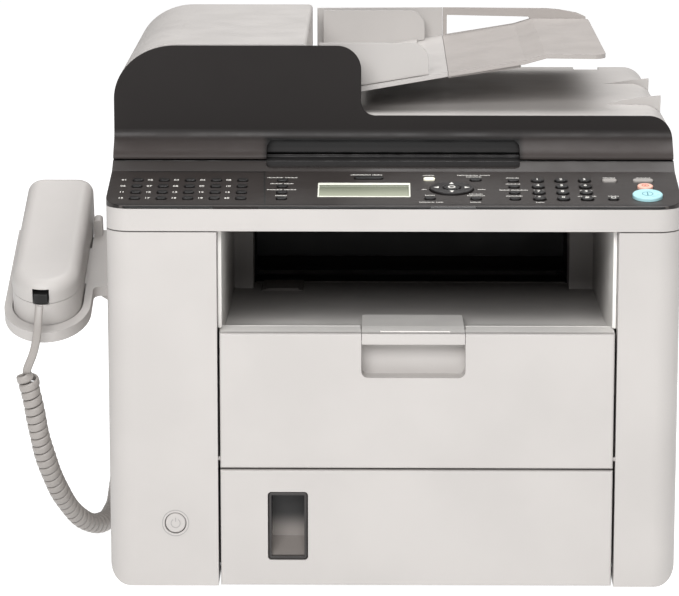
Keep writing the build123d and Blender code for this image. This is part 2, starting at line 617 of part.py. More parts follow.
def make_handset_cradle():
    plate = slab(nosed_outline(CRADLE_HALF_W, 0, NOSE_L, CRADLE_L), -CRADLE_T, 0)
    plate += block(0, WALL_LOCAL_X, ARM_Y0, CRADLE_L, -CRADLE_T, 0)
    inner_edge = plate.edges().filter_by(Axis.Z).sort_by_distance((CRADLE_HALF_W, ARM_Y0, -4))[0]
    plate = fillet(inner_edge, 5)
    pocket = nosed_outline(HANDSET_W / 2 + 1.0, POCKET_FRONT, NOSE_L - POCKET_FRONT + 2, 70)
    plate -= slab(pocket, HANDSET_LOW - 1, 1)
    plate -= block(-HANDSET_W / 2 - 1, HANDSET_W / 2 + 1, 122, CRADLE_L + 1, HANDSET_LOW - 1, 1)
    plate -= block(-6.4, 6.4, SWITCH_Y - 4.4, SWITCH_Y + 4.4, -CRADLE_T - 1, 1)
    ear = block(HANDSET_W / 2 + 1.2, CRADLE_HALF_W + 1, CRADLE_L - 9, CRADLE_L, -2, 12.5)
    ear = fillet(ear.edges().filter_by(Axis.Y).group_by(Axis.Z)[-1], 2.6)
    plate += ear
    gusset = extrude(
        Plane.XZ.offset(-ARM_Y0 - 50)
        * make_face(Polyline((32, -CRADLE_T), (WALL_LOCAL_X, -CRADLE_T), (WALL_LOCAL_X, -20), close=True)),
        46,
    )
    return on_cradle(plate + gusset)


def make_hook_switch():
    lever = block(-6, 6, SWITCH_Y - 4, SWITCH_Y + 4, -6.4, 3.4)
    return on_cradle(fillet(lever.edges().filter_by(Axis.X).group_by(Axis.Z)[-1], 1.5))


def handset_part(z0, z1):
    return slab(nosed_outline(HANDSET_W / 2, HANDSET_Y0, NOSE_L - 12, HANDSET_Y0 + HANDSET_L), z0, z1)


def handset_jack_hole():
    return block(JACK_LOCAL_X - 5.8, JACK_LOCAL_X + 5.8, HANDSET_Y0 - 2, HANDSET_Y0 + 14, 15.8, 27.2)


def make_handset_back():
    """Upper shell, crowned, with rounded rear corners and the jack in its nose."""
    shell = handset_part(SPLIT_Z + 0.15, HANDSET_TOP)
    rear = shell.edges().filter_by(Axis.Z).group_by(Axis.Y)[-1]
    shell = fillet(rear, 12)
    shell = fillet(shell.faces().sort_by(Axis.Z)[-1].edges(), 8.5)
    inner = nosed_outline(HANDSET_W / 2 - 3, HANDSET_Y0 + 16, 20, HANDSET_Y0 + HANDSET_L - 12)
    hollow = slab(inner, SPLIT_Z - 1, 27)
    return on_cradle(shell - hollow - handset_jack_hole())


def make_handset_face():
    """Lower shell with the mouthpiece and the earpiece standing down into the cradle's pockets."""
    shell = handset_part(HANDSET_LOW, SPLIT_Z - 0.15)
    rear = shell.edges().filter_by(Axis.Z).group_by(Axis.Y)[-1]
    shell = fillet(rear, 12)
    shell -= block(-40, 40, 67, 127, HANDSET_LOW - 1, 4.2)
    for y in (40, 152):
        for dx in (-8, 0, 8):
            for dy in (-6, 0, 6):
                shell -= Pos(dx, y + dy, HANDSET_LOW) * Cylinder(1.1, 3)
    return on_cradle(shell - handset_jack_hole())


CORD_W, CORD_T = 6.5, 2.4  # the flat cord
COIL_D = 14.5
LEAD_D = 6.4


def route_path(points):
    """Straight runs joined by tangent arcs, each as large as its two runs allow."""
    radii = []
    for before, corner, after in zip(points, points[1:], points[2:]):
        a, b = Vector(*corner) - Vector(*before), Vector(*after) - Vector(*corner)
        radii.append(0.45 * min(a.length, b.length) / tan(radians(a.get_angle(b) / 2)))
    print("cord radii", [round(radius, 1) for radius in radii])
    return FilletPolyline(*points, radius=radii)


def cord_tube(points, diameter):
    path = route_path(points)
    section = Plane(origin=path @ 0, z_dir=path % 0) * Circle(diameter / 2)
    tube = sweep(section, path=path)
    print("cord run", round(path.length, 1), "volume", round(tube.volume), "of",
          round(path.length * pi * diameter**2 / 4))
    return tube


# the lead hangs from the handset's nose, the curly part hangs to the table and runs back to the wall jack
LEAD_ROUTE = [(-245.0, 48.5, 183.0), (-245.6, 44.0, 172.5), (-246.6, 43.4, 161.0), (-249.2, 43.6, 149.5),
              (-253.6, 44.3, 139.5)]
COIL_ROUTE = [(-254.4, 44.8, 136.0), (-252.8, 46.8, 126.0), (-250.2, 49.4, 112.0), (-248.4, 54.2, 96.0),
              (-245.6, 61.5, 77.0), (-241.0, 71.5, 56.5), (-234.6, 85.5, 35.5), (-226.0, 102.5, 17.0),
              (-217.0, 121.0, 5.8), (-209.5, 143.0, 1.5), (-206.8, 167.0, 0.9), (-205.6, 191.0, 1.9),
              (-205.0, 213.0, 8.0), (-204.8, 233.0, 20.0), (-205.0, 250.0, 35.5), (-205.8, 264.0, 52.0)]


def make_handset_plug():
    """Modular plug in the handset's jack, in a frame that points straight out of the nose."""
    plug = block(JACK_LOCAL_X - 4.8, JACK_LOCAL_X + 4.8, HANDSET_Y0 - 1.5, HANDSET_Y0 + 13, 17.6, 24.6)
    return on_cradle(plug)


def make_wall_plug():
    return block(-205.5, -HALF_W + 11, JACK_Y - 3.8, JACK_Y + 3.8, JACK_Z - 3.3, JACK_Z + 3.3)


# ---------------------------------------------------------------- scanner housing and control panel
KEY_TILT = degrees(atan2(PANEL_CREASE[1] - PANEL_FOOT[1], PANEL_CREASE[0] - PANEL_FOOT[0]))
KEY_FIELD = Plane(
    origin=(0, *PANEL_FOOT), x_dir=(1, 0, 0), z_dir=(0, -sin(radians(KEY_TILT)), cos(radians(KEY_TILT)))
)
KEY_PLAY = 0.3
KEY_ROOT = -4.2
KEY_ROWS = (51.0, 38.7, 26.7, 15.0)
LCD_BOX = (-51.0, 11.0, 19.5, 45.5)  # X and Y range of the display window
NAV_X, NAV_Y = 39.8, 34.0

# every key: X, Y of its centre on the machine, width, depth, height over the panel
ONE_TOUCH = [(x, y, 7.2, 4.6, 1.3) for x in (-175.5, -157.5, -139.5, -121.5, -103.5) for y in KEY_ROWS]
FUNCTION = [(x, y, 7.4, 4.6, 1.3) for x in (-76.0, 82.5) for y in KEY_ROWS]
DIAL = [(x, y, 8.6, 6.0, 1.5) for x in (99.0, 115.2, 131.3) for y in KEY_ROWS]
SMALL = [(-17.0, 56.0, 20.0, 4.4, 1.3), (24.8, 53.5, 8.0, 4.6, 1.3), (56.6, 52.5, 8.0, 4.6, 1.3),
         (24.8, 15.5, 7.4, 4.6, 1.3), (56.0, 15.0, 7.4, 4.6, 1.3), (149.0, 15.0, 7.0, 4.6, 1.3),
         (148.5, 51.0, 10.0, 5.0, 1.3), (171.5, 51.0, 14.0, 5.0, 1.3)]
STOP = [(172.0, 38.0, 10.7, 10.0, 1.8)]
START = [(172.3, 20.3, 20.5, 20.0, 2.2)]


def field_y(y):
    """Distance up the sloping key field for a position Y on the machine."""
    return (y - PANEL_FOOT[0]) / cos(radians(KEY_TILT))


def key_outline(x, y, width, depth, grow=0.0):
    w, d = width + 2 * grow, depth + 2 * grow
    shape = Ellipse(w / 2, d / 2) if abs(width - depth) < 2 else RectangleRounded(w, d, min(w, d) * 0.42)
    return Pos(x, field_y(y)) * shape


def make_keys(keys):
    caps = []
    for x, y, width, depth, height in keys:
        cap = slab(key_outline(x, y, width, depth), KEY_ROOT, height)
        cap = chamfer(cap.faces().sort_by(Axis.Z)[-1].edges(), 0.5)
        caps.append(KEY_FIELD.location * cap)
    return caps


def make_nav_ring():
    ring = slab(Pos(NAV_X, field_y(NAV_Y)) * (Ellipse(15, 11.8) - Ellipse(6.2, 5.2)), KEY_ROOT, 1.6)
    ring = chamfer(ring.faces().sort_by(Axis.Z)[-1].edges(), 0.5)
    return KEY_FIELD.location * ring


def make_ok_key():
    cap = slab(Pos(NAV_X, field_y(NAV_Y)) * Ellipse(5.8, 4.8), KEY_ROOT, 1.9)
    return KEY_FIELD.location * chamfer(cap.faces().sort_by(Axis.Z)[-1].edges(), 0.5)


def make_lcd_window():
    x0, x1, y0, y1 = LCD_BOX
    window = block(x0 + FIT, x1 - FIT, field_y(y0) + FIT, field_y(y1) - FIT, -3.6, -0.5)
    return KEY_FIELD.location * window


def make_control_panel():
    profile = [(0, BAND_Z + FIT), (0, 260.7), (1.0, 261.6), PANEL_FOOT, PANEL_CREASE, PANEL_BACK,
               (PANEL_BACK[0], BAND_Z + FIT)]
    hollow = [(2.5, BAND_Z - 1), (2.5, 259.95), (3.4, 260.0), (70.4, 271.3), (77.8, 272.4),
              (77.8, BAND_Z - 1)]
    plan, rounds = plan_outline(-HALF_W, HALF_W, 0, 90, CORNER_R, CORNER_R)
    inner_plan, inner_rounds = plan_outline(-HALF_W + WALL, HALF_W - WALL, WALL, 90, CORNER_R - WALL,
                                            CORNER_R - WALL)
    panel = prism_x(-HALF_W, HALF_W, profile) & prism_z(250, 290, plan, rounds)
    panel -= prism_x(-HALF_W, HALF_W, hollow) & prism_z(250, 290, inner_plan, inner_rounds)
    holes = [slab(key_outline(x, y, w, d, KEY_PLAY), -4, 3) for x, y, w, d, _ in
             ONE_TOUCH + FUNCTION + DIAL + SMALL + STOP + START]
    holes.append(slab(Pos(NAV_X, field_y(NAV_Y)) * Ellipse(15.3, 12.1), -4, 3))
    x0, x1, y0, y1 = LCD_BOX
    holes.append(block(x0, x1, field_y(y0), field_y(y1), -4, 3))
    scoop = [(-GRIP_HALF_W, 73), (GRIP_HALF_W, 73), (GRIP_HALF_W, 90), (-GRIP_HALF_W, 90)]
    panel -= prism_z(275.3, 290, scoop, [((-GRIP_HALF_W, 73), 4), ((GRIP_HALF_W, 73), 4)])
    return panel - [KEY_FIELD.location * hole for hole in holes]


GLASS = (-158.0, 150.0, 108.0, 336.0)  # X and Y range of the platen glass
LID_ARM_X = 146.0


def make_scanner_base():
    z0 = SEAM_Z + GAP / 2
    plan, rounds = plan_outline(-HALF_W, HALF_W, 0, CABINET_Y1, CORNER_R, CORNER_R)
    inner, inner_rounds = plan_outline(-HALF_W + WALL, HALF_W - WALL, WALL, CABINET_Y1 - WALL,
                                       CORNER_R - WALL, CORNER_R - WALL)
    base = prism_z(z0, BAND_Z, plan, rounds)
    base += block(-HALF_W, HALF_W, FEEDER_Y0 + 1, CABINET_Y1, BAND_Z, PLATEN_Z)
    base += block(-HALF_W, HALF_W, PANEL_END_Y - 1.4, FEEDER_Y0 + 1, BAND_Z, PLATEN_Z - 1.6)
    hollow = prism_z(z0 + WALL, BAND_Z + 1, inner, inner_rounds)
    hollow += block(-HALF_W + WALL, HALF_W - WALL, PANEL_END_Y + WALL, CABINET_Y1 - WALL, z0 + WALL,
                    PLATEN_Z - 4)
    base -= hollow - block(-HALF_W, HALF_W, PANEL_END_Y - 1.4, PANEL_END_Y + WALL, z0, PLATEN_Z)
    gx0, gx1, gy0, gy1 = GLASS
    base -= block(gx0, gx1, gy0, gy1, PLATEN_Z - 3, PLATEN_Z + 1)
    base -= block(gx0 + 5, gx1 - 5, gy0 + 5, gy1 - 5, PLATEN_Z - 6, PLATEN_Z)
    for y in (130, 310):
        base += block(-HALF_W + WALL, HALF_W - WALL, y, y + 4, z0 + WALL, z0 + 6)
    for x in (PLATE_L + 0.4, PLATE_R - 6.4):
        base += block(x, x + 6, CABINET_Y1 - 1, SCANNER_PIVOT[0] + 3,
                      SCANNER_PIVOT[1] - 3, SCANNER_PIVOT[1] + 3)
    for x0, x1 in ((PLATE_L - PLATE_T - 1.2, PLATE_L + 2), (PLATE_R - 2, PLATE_R + PLATE_T + 1.2)):
        base += rod_x(x0, x1, *SCANNER_PIVOT, 1.5)
    for side in (-1, 1):
        x0, x1 = sorted((side * (LID_ARM_X + 4.6), side * (LID_ARM_X + 10)))
        base += block(x0, x1, LID_PIVOT[0] - 3, CABINET_Y1, PLATEN_Z, LID_PIVOT[1] + 3)
        x0, x1 = sorted((side * (LID_ARM_X - 3), side * (LID_ARM_X + 5)))
        base += rod_x(x0, x1, *LID_PIVOT, 1.5)
    return base


def make_platen_glass():
    gx0, gx1, gy0, gy1 = GLASS
    return block(gx0 + FIT, gx1 - FIT, gy0 + FIT, gy1 - FIT, PLATEN_Z - 3, PLATEN_Z)


def make_scan_carriage():
    """Lamp and sensor bar that travels across the platen on two ribs."""
    z0 = SEAM_Z + GAP / 2 + 6.3
    bar = block(-186, -158, 118, 328, z0, z0 + 16)
    bar -= block(-176, -172, 124, 322, z0 + 12, z0 + 17)
    bar -= block(-190, -150, 150, 300, z0 - 1, z0 + 3)
    return bar


# ---------------------------------------------------------------- lid and document feeder
TOWER_X1 = -22.3
GRIP_HALF_W = 88.0
SHOULDER = (43.0, 37.5)  # width and height of the tower's elliptical left shoulder
GRIP_Z1 = 292.0
FEEDER_X1 = -60.5
FEEDER_Y0, FEEDER_Y1 = 97.0, 335.0
FEEDER_PIVOT = (-187.0, 320.5)  # X, Z
TRAY_FOOT = (-55.0, 320.4)  # X, Z where the document tray starts
TRAY_KINK = (38.6, 336.0)
TRAY_END_X = 150.0
RAIL_Z = 356.5  # top of the rail along the document tray's rear edge
ROLLER_X, ROLLER_Z = -92.0, 326.0


def tower_corner(x0, z1):
    """Region above the elliptical left shoulder that the fascia and the feeder cover share."""
    wide, high = SHOULDER
    corner = Pos(x0 + wide / 2 - 1, z1 - high / 2 + 1) * Rectangle(wide + 2, high + 2)
    return corner - Pos(x0 + wide, z1 - high) * Ellipse(wide, high)


def make_lid_fascia():
    foot = LID_Z - 2.6
    points = [(-HALF_W, foot), (-GRIP_HALF_W, foot), (-GRIP_HALF_W, GRIP_Z1), (GRIP_HALF_W, GRIP_Z1),
              (GRIP_HALF_W, foot), (HALF_W, foot), (HALF_W, LID_TOP_Z), (TOWER_X1, LID_TOP_Z),
              (TOWER_X1, ADF_TOP_Z), (-HALF_W, ADF_TOP_Z)]
    rounds = [((-GRIP_HALF_W, GRIP_Z1), 5), ((GRIP_HALF_W, GRIP_Z1), 5), ((HALF_W, LID_TOP_Z), 16.5),
              ((TOWER_X1, LID_TOP_Z), 10), ((TOWER_X1, ADF_TOP_Z), 17)]
    face = outline(points, rounds) - tower_corner(-HALF_W, ADF_TOP_Z)
    plate = extrude(Plane.XZ.offset(-FEEDER_Y0 + FIT) * face, FEEDER_Y0 - FIT - FASCIA_Y[0] + 1)
    # the front face leans forward at its foot in one smooth flare
    face_y = FASCIA_Y[1] - 0.6
    flare = Bezier((FASCIA_Y[0], foot + 1.5), (FASCIA_Y[0] + 3, foot + 8.5),
                   (face_y, foot + 9), (face_y, foot + 19))
    rim = Polyline((face_y, foot + 19), (face_y, 370), (60, 370), (60, 270), (FASCIA_Y[0], 270),
                   (FASCIA_Y[0], foot + 1.5))
    plate -= extrude(Plane.YZ.offset(-200) * make_face(flare + rim), 400)
    return plate - block(-GRIP_HALF_W + 3, GRIP_HALF_W - 3, 92, 100, 270, GRIP_Z1 + 0.1)


def lid_outline(x0, x1, z0, z1, radius):
    return [(x0, z0), (x1, z0), (x1, z1), (x0, z1)], [((x1, z1), radius)]


def make_lid_base():
    y0 = FEEDER_Y0
    points, rounds = lid_outline(-HALF_W + 0.5, HALF_W - 0.2, LID_Z, LID_TOP_Z, 16.5)
    lid = prism_y(y0, LID_Y1, points, rounds)
    points, rounds = lid_outline(-HALF_W + 3, HALF_W - 3, LID_Z - 1, LID_TOP_Z - WALL, 14)
    lid -= prism_y(y0 + WALL, LID_Y1 - WALL, points, rounds)
    # feeder chassis under the cover, and the stem that carries the document tray
    lid += block(-182, FEEDER_X1 + 2, y0 + 3, FEEDER_Y1 - 3, LID_TOP_Z - WALL, 316.5)
    lid += block(FEEDER_X1 + 2, TRAY_FOOT[0] + 5, 124, 331, LID_TOP_Z - WALL, TRAY_FOOT[1] - 4.2)
    for y in (118, 316):
        lid += block(ROLLER_X - 6, ROLLER_X + 6, y - 2, y + 2, 316, ROLLER_Z + 5)
    lid -= rod_y(110, 325, ROLLER_X, ROLLER_Z, 3 + BORE_PLAY)
    for y in (112, 318):
        lid += block(FEEDER_PIVOT[0] - 2.6, FEEDER_PIVOT[0] + 2.6, y, y + 4,
                     LID_TOP_Z - WALL, FEEDER_PIVOT[1] + 2.6)
        lid += rod_y(y, y + 11, *FEEDER_PIVOT, 1.8)
    # two low fins at the right shoulder
    for y, top in ((150, 315.4), (257, 312.8)):
        lid += prism_y(y, y + 3, [(140, 305), (190.8, 299), (191.2, top), (178, top - 1), (163, top - 3.2),
                                  (150, 308.5)])
    for side in (-1, 1):
        x0, x1 = sorted((side * (LID_ARM_X - 6), side * (LID_ARM_X + 13)))
        lid -= block(x0, x1, LID_Y1 - 14, LID_Y1 + 1, LID_Z - 1, LID_TOP_Z + 1)
        lid += block(x0, x1, LID_Y1 - 16, LID_Y1 - 14, LID_Z, LID_TOP_Z - 1)
        x0, x1 = sorted((side * (LID_ARM_X - 4), side * (LID_ARM_X + 4)))
        lid += block(x0, x1, LID_Y1 - 14.5, LID_PIVOT[0], LID_PIVOT[1] - 3, LID_PIVOT[1] + 3)
        lid += rod_x(x0, x1, *LID_PIVOT, 3.0)
    return lid - rod_x(-160, 160, *LID_PIVOT, 1.5 + BORE_PLAY)


def make_platen_pad():
    """White backing pad that closes the lid from below."""
    return block(-HALF_W + 4, HALF_W - 4, FEEDER_Y0 + WALL + 1, LID_Y1 - 17.5, LID_Z - 1.4, LID_Z + 3)


def make_adf_cover():
    x0, z0, z1 = -HALF_W + 0.6, 318.6, ADF_TOP_Z + 1.0
    shell = outline([(x0, z0), (FEEDER_X1, z0), (FEEDER_X1, z1), (x0, z1)], [((FEEDER_X1, z1), 3)])
    hollow = outline([(x0 + 2, z0 - 1), (FEEDER_X1 - 2, z0 - 1), (FEEDER_X1 - 2, z1 - 2), (x0 + 2, z1 - 2)])
    outer = extrude(Plane.XZ.offset(-FEEDER_Y1) * (shell - tower_corner(x0, z1)), FEEDER_Y1 - FEEDER_Y0)
    inner = extrude(Plane.XZ.offset(-FEEDER_Y1 + 2) * (hollow - tower_corner(x0 + 2, z1 - 2)),
                    FEEDER_Y1 - FEEDER_Y0 - 4)
    cover = outer - inner
    cover -= block(FEEDER_X1 - 3, FEEDER_X1 + 1, 124, 331, z0 - 1, z0 + 14)
    for y in (112, 318):
        cover -= block(x0 - 1, x0 + 4, y - 0.8, y + 4.8, z0 - 1, FEEDER_PIVOT[1] + 4.4)
    for y in (118.4, 324.4):
        cover += block(x0 + 1, FEEDER_PIVOT[0] + 3, y, y + 4, z0, FEEDER_PIVOT[1] + 3.4)
    return cover - rod_y(112, 330, *FEEDER_PIVOT, 1.8 + BORE_PLAY)


def make_adf_roller():
    roller = rod_y(114, 320, ROLLER_X, ROLLER_Z, 3)
    for y in (172, 222, 272):
        roller += rod_y(y, y + 22, ROLLER_X, ROLLER_Z, 8.5)
    return roller


def make_feed_tray():
    (x0, z0), (x1, z1) = TRAY_FOOT, TRAY_KINK
    tray = prism_y(120, 335, [(x0, z0), (x1, z1), (x1, z1 - 3), (x0, z0 - 3.6)])
    tray += block(x0, x0 + 12, 124, 331, z0 - 4.0, z0 - 1)
    tray -= block(x0 + 26, x0 + 34, 150, 305, 310, 340)
    return tray + prism_y(331.5, 335, [(x0, z0 - 3), (x1, z1 - 3), (x1, RAIL_Z + 0.5), (x0 - 2, RAIL_Z),
                                       (x0 - 2, z0 + 8)])


def make_tray_extension():
    (x0, z0) = TRAY_KINK
    top = [(x0 + FIT, z0), (93, 344.8), (107, 349.0), (TRAY_END_X, 348.6)]
    under = [(TRAY_END_X, 345.6), (108, 346.0), (93, 341.8), (x0 + FIT, z0 - 3)]
    plate = prism_y(120, 335, top + under)
    plate = fillet(plate.edges().filter_by(Axis.Z).group_by(Axis.X)[-1], 2.5)
    rail = [(x0 + FIT, RAIL_Z + 0.5), (x0 + FIT, RAIL_Z - 5), (104, 350.2), (108, 346.2),
            (TRAY_END_X, 346.2), (TRAY_END_X, 349.6), (TRAY_END_X - 9, 353.2), (TRAY_END_X - 22, 355.6),
            (118, RAIL_Z)]
    plate += prism_y(331.5, 335, rail)
    plan = [(x0, 119), (TRAY_END_X, 119), (TRAY_END_X, 335), (x0, 335)]
    plate &= prism_z(320, 360, plan, [((TRAY_END_X, 119), 12), ((TRAY_END_X, 335), 9)])
    plate += block(x0 + FIT, x0 + 3.5, 331.5, 335, z0 - 1.5, RAIL_Z)
    plate += prism_y(124, 127, [(x0 + FIT, z0 - 1), (90, 344), (90, 339), (x0 + FIT, z0 - 4.5)])
    return plate


def make_document_guide(y, side):
    """Upright fence with a foot that slides on the document tray."""
    slope = (TRAY_KINK[1] - TRAY_FOOT[1]) / (TRAY_KINK[0] - TRAY_FOOT[0])
    x0, x1 = -52.0, 25.0
    low = [TRAY_FOOT[1] + slope * (x - TRAY_FOOT[0]) + 0.4 for x in (x0, x1)]
    top = 356.2
    fence = prism_y(y, y + 2.2, [(x0, low[0]), (x1, low[1]), (x1, top), (x0, top)], [((x1, top), 12)])
    near, far = sorted((y + 1.1, y + 1.1 - side * 22))
    foot_z0, foot_z1 = low[0] + 30 * slope, low[1] - 6 * slope
    return fence + prism_y(near, far, [(x0 + 30, foot_z0), (x1 - 6, foot_z1),
                                       (x1 - 6, foot_z1 + 1.6), (x0 + 30, foot_z0 + 1.6)])


# ---------------------------------------------------------------- build
os.makedirs("parts", exist_ok=True)

save("base_pan", make_base_pan())
save("left_cover", make_left_cover())
save("right_cover", make_right_cover())
save("rear_cover", make_rear_cover())
save("feet", make_feet())
save("side_plates", make_side_plates())
save("output_tray", make_output_tray())
save("toner_cover", make_toner_cover())
save("front_cover", make_front_cover())
save("front_cover_handle", make_front_cover_handle())
save("cassette_front", make_cassette_front())
save("window_bezel", make_window_bezel())
save("cassette_tray", make_cassette_tray())
save("paper_lift_plate", make_paper_lift_plate())
save("cassette_guide_left", make_cassette_guide(-1))
save("cassette_guide_right", make_cassette_guide(1))
save("pickup_roller", make_pickup_roller())
save("drum", make_drum())
save("drum_gear", make_drum_gear())
save("fuser_roller", make_fuser_roller())
save("pressure_roller", make_pressure_roller())
save("delivery_roller", make_delivery_roller())
save("toner_cartridge", make_toner_cartridge())
save("laser_unit", make_laser_unit())
save("main_motor", make_main_motor())
save("motor_pinion", make_motor_pinion())
save("main_board", make_main_board())
save("rear_sockets", make_rear_sockets())
save("handset_jack", make_handset_jack())
save("power_button", make_power_button())
save("handset_cradle", make_handset_cradle())
save("hook_switch", make_hook_switch())
save("handset_back", make_handset_back())
save("handset_face", make_handset_face())
save("handset_plug", make_handset_plug())
save("wall_plug", make_wall_plug())
save("cord_lead", cord_tube(LEAD_ROUTE, LEAD_D))
save("cord_coil", cord_tube(COIL_ROUTE, COIL_D))
save("scanner_base", make_scanner_base())
save("control_panel", make_control_panel())
save("lcd_window", make_lcd_window())
save("platen_glass", make_platen_glass())
save("scan_carriage", make_scan_carriage())
save("one_touch_keys", make_keys(ONE_TOUCH))
save("function_keys", make_keys(FUNCTION))
save("dial_keys", make_keys(DIAL))
save("small_keys", make_keys(SMALL))
save("stop_key", make_keys(STOP))
save("start_key", make_keys(START))
save("nav_ring", make_nav_ring())
save("ok_key", make_ok_key())
save("lid_fascia", make_lid_fascia())
save("lid_base", make_lid_base())
save("platen_pad", make_platen_pad())
save("adf_cover", make_adf_cover())
save("adf_roller", make_adf_roller())
save("feed_tray", make_feed_tray())
save("tray_extension", make_tray_extension())
save("guide_front", make_document_guide(124, -1))
save("guide_rear", make_document_guide(318, 1))
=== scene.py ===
"""Looks for the laser fax machine: camera, handset cord, materials, printing, small fittings, floor, lights.

at(x, y, z) takes body coordinates in millimetres, as part.py does: X 0 at the cabinet's mid-plane, Y 0 at its
front face, Z grows upwards from TABLE_Z.
"""

import json
import math

import bmesh
import bpy
from mathutils import Matrix, Vector
from mathutils.bvhtree import BVHTree


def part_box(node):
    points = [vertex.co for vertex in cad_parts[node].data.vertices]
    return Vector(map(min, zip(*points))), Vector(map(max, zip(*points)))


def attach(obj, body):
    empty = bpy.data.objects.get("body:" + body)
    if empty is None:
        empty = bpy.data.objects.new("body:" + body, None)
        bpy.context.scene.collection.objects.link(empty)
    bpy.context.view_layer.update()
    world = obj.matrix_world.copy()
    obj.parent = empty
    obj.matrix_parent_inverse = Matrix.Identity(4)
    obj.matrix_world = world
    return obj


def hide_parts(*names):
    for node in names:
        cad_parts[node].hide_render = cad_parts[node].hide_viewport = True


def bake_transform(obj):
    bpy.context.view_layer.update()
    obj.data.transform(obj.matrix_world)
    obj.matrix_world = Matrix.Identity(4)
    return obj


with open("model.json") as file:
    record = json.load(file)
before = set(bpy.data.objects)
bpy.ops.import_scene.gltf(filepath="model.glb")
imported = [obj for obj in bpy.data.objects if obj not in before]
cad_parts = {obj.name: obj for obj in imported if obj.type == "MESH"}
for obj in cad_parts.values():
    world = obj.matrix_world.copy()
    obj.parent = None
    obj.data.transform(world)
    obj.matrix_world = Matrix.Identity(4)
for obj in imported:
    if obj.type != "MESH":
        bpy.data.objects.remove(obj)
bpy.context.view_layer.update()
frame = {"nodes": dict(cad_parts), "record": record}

# ---------------------------------------------------------------- dimensions, millimetres
MM = 0.001
COVER_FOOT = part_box("left_cover")[0]
CABINET_W = 390.0
TABLE_Z = -7.0
ORIGIN = Vector((COVER_FOOT.x + CABINET_W / 2 * MM, COVER_FOOT.y, -TABLE_Z * MM))
FIELD_FOOT = (3.0, 262.0)  # Y, Z of the key field's front edge
FIELD_RISE, FIELD_DEPTH = 11.7, 67.0
FIELD_TILT = math.atan2(FIELD_RISE, FIELD_DEPTH)

LEAD_ROUTE = [(-245.0, 48.5, 183.0), (-245.6, 44.0, 172.5), (-246.6, 43.4, 161.0), (-249.2, 43.6, 149.5),
              (-253.6, 44.3, 139.5)]
COIL_ROUTE = [(-254.4, 44.8, 136.0), (-252.8, 46.8, 126.0), (-250.2, 49.4, 112.0), (-248.4, 54.2, 96.0),
              (-245.6, 61.5, 77.0), (-241.0, 71.5, 56.5), (-234.6, 85.5, 35.5), (-226.0, 102.5, 17.0),
              (-217.0, 121.0, 5.8), (-209.5, 143.0, 1.5), (-206.8, 167.0, 0.9), (-205.6, 191.0, 1.9),
              (-205.0, 213.0, 8.0), (-204.8, 233.0, 20.0), (-205.0, 250.0, 35.5), (-205.8, 264.0, 52.0)]
TAIL_ROUTE = [(-208.0, 272.0, 55.0), (-213.0, 280.0, 56.0), (-212.0, 285.0, 56.0), (-203.5, 285.0, 56.0)]
CORD_W, CORD_T = 5.8, 2.3  # the flat lead
COIL_R, COIL_PITCH = 6.1, 6.2  # to the middle of the lead
COIL_RAMP_IN, COIL_RAMP_OUT = 5, 9  # lengths over which the lead opens into the coil and closes again
CORD_STEP = 0.28
CORD_SIDES = 12
SPLINE_STEPS = 24

ONE_TOUCH_X = (-175.5, -157.5, -139.5, -121.5, -103.5)
ONE_TOUCH_Y = (51.0, 38.7, 26.7, 15.0)
DIAL_X = (99.0, 115.2, 131.3)
DIAL_Y = (50.5, 38.5, 26.6, 15.0)
DIAL_LABEL_Y = (56.6, 44.6, 32.6, 20.9)
NAV = (39.8, 34.0)
LIT_KEY = (24.8, 53.5)
CLEAR_KEY = (149.0, 15.0)
START_KEY = (172.3, 20.3)
STOP_KEY = (172.0, 38.0)
DISPLAY_X, DISPLAY_Y = (-51.0, 11.0), (19.5, 45.5)

BAY_X, BAY_Z = (-150.0, 157.0), (160.0, 244.5)  # the output bay between the side columns
GRIP_X, GRIP_Y = (-92.0, 92.0), (60.0, 103.0)  # the finger recess across the front
LID_FOOT = (292.8, 293.4)  # Z band below which the lid's front is painted black as shade in the recess
SCANNER_FOOT = (262.0, 264.0)  # Z band below which the inside of the scanner housing is painted dark as shade


def at(x, y, z):
    return ORIGIN + Vector((x, y, z)) * MM


def on_field(x, y, lift=0.0):
    """Point over the key field, lift millimetres off it; y is measured level, as in at()."""
    z = FIELD_FOOT[1] + (y - FIELD_FOOT[0]) * math.tan(FIELD_TILT)
    return at(x, y - lift * math.sin(FIELD_TILT), z + lift * math.cos(FIELD_TILT))


# ---------------------------------------------------------------- camera
SENSOR_W, LENS = 36.0, 175.98
CAMERA_AT = (-12.2, -2200.0, 653.8)
CAMERA_YAW, CAMERA_PITCH = -0.0110, 0.2040  # radians: right of straight ahead, and down
CLIP = (0.05, 60.0)  # metres


def add_camera():
    data = bpy.data.cameras.new("camera")
    data.sensor_width, data.lens = SENSOR_W, LENS
    data.clip_start, data.clip_end = CLIP
    camera = bpy.data.objects.new("camera", data)
    level = math.cos(CAMERA_PITCH)
    forward = Vector((math.sin(CAMERA_YAW) * level, math.cos(CAMERA_YAW) * level, -math.sin(CAMERA_PITCH)))
    camera.location = at(*CAMERA_AT)
    camera.rotation_mode = "QUATERNION"
    camera.rotation_quaternion = forward.to_track_quat("-Z", "Y")
    bpy.context.scene.collection.objects.link(camera)
    bpy.context.scene.camera = camera


add_camera()


# ---------------------------------------------------------------- mesh helpers
def add_mesh(name, vertices, faces, smooth=False):
    mesh = bpy.data.meshes.new(name)
    mesh.from_pydata(vertices, [], faces)
    mesh.validate()
    mesh.update()
    return add_object(name, mesh, smooth)


def add_object(name, mesh, smooth=False):
    if smooth:
        mesh.polygons.foreach_set("use_smooth", [True] * len(mesh.polygons))
    obj = bpy.data.objects.new(name, mesh)
    bpy.context.scene.collection.objects.link(obj)
    return obj


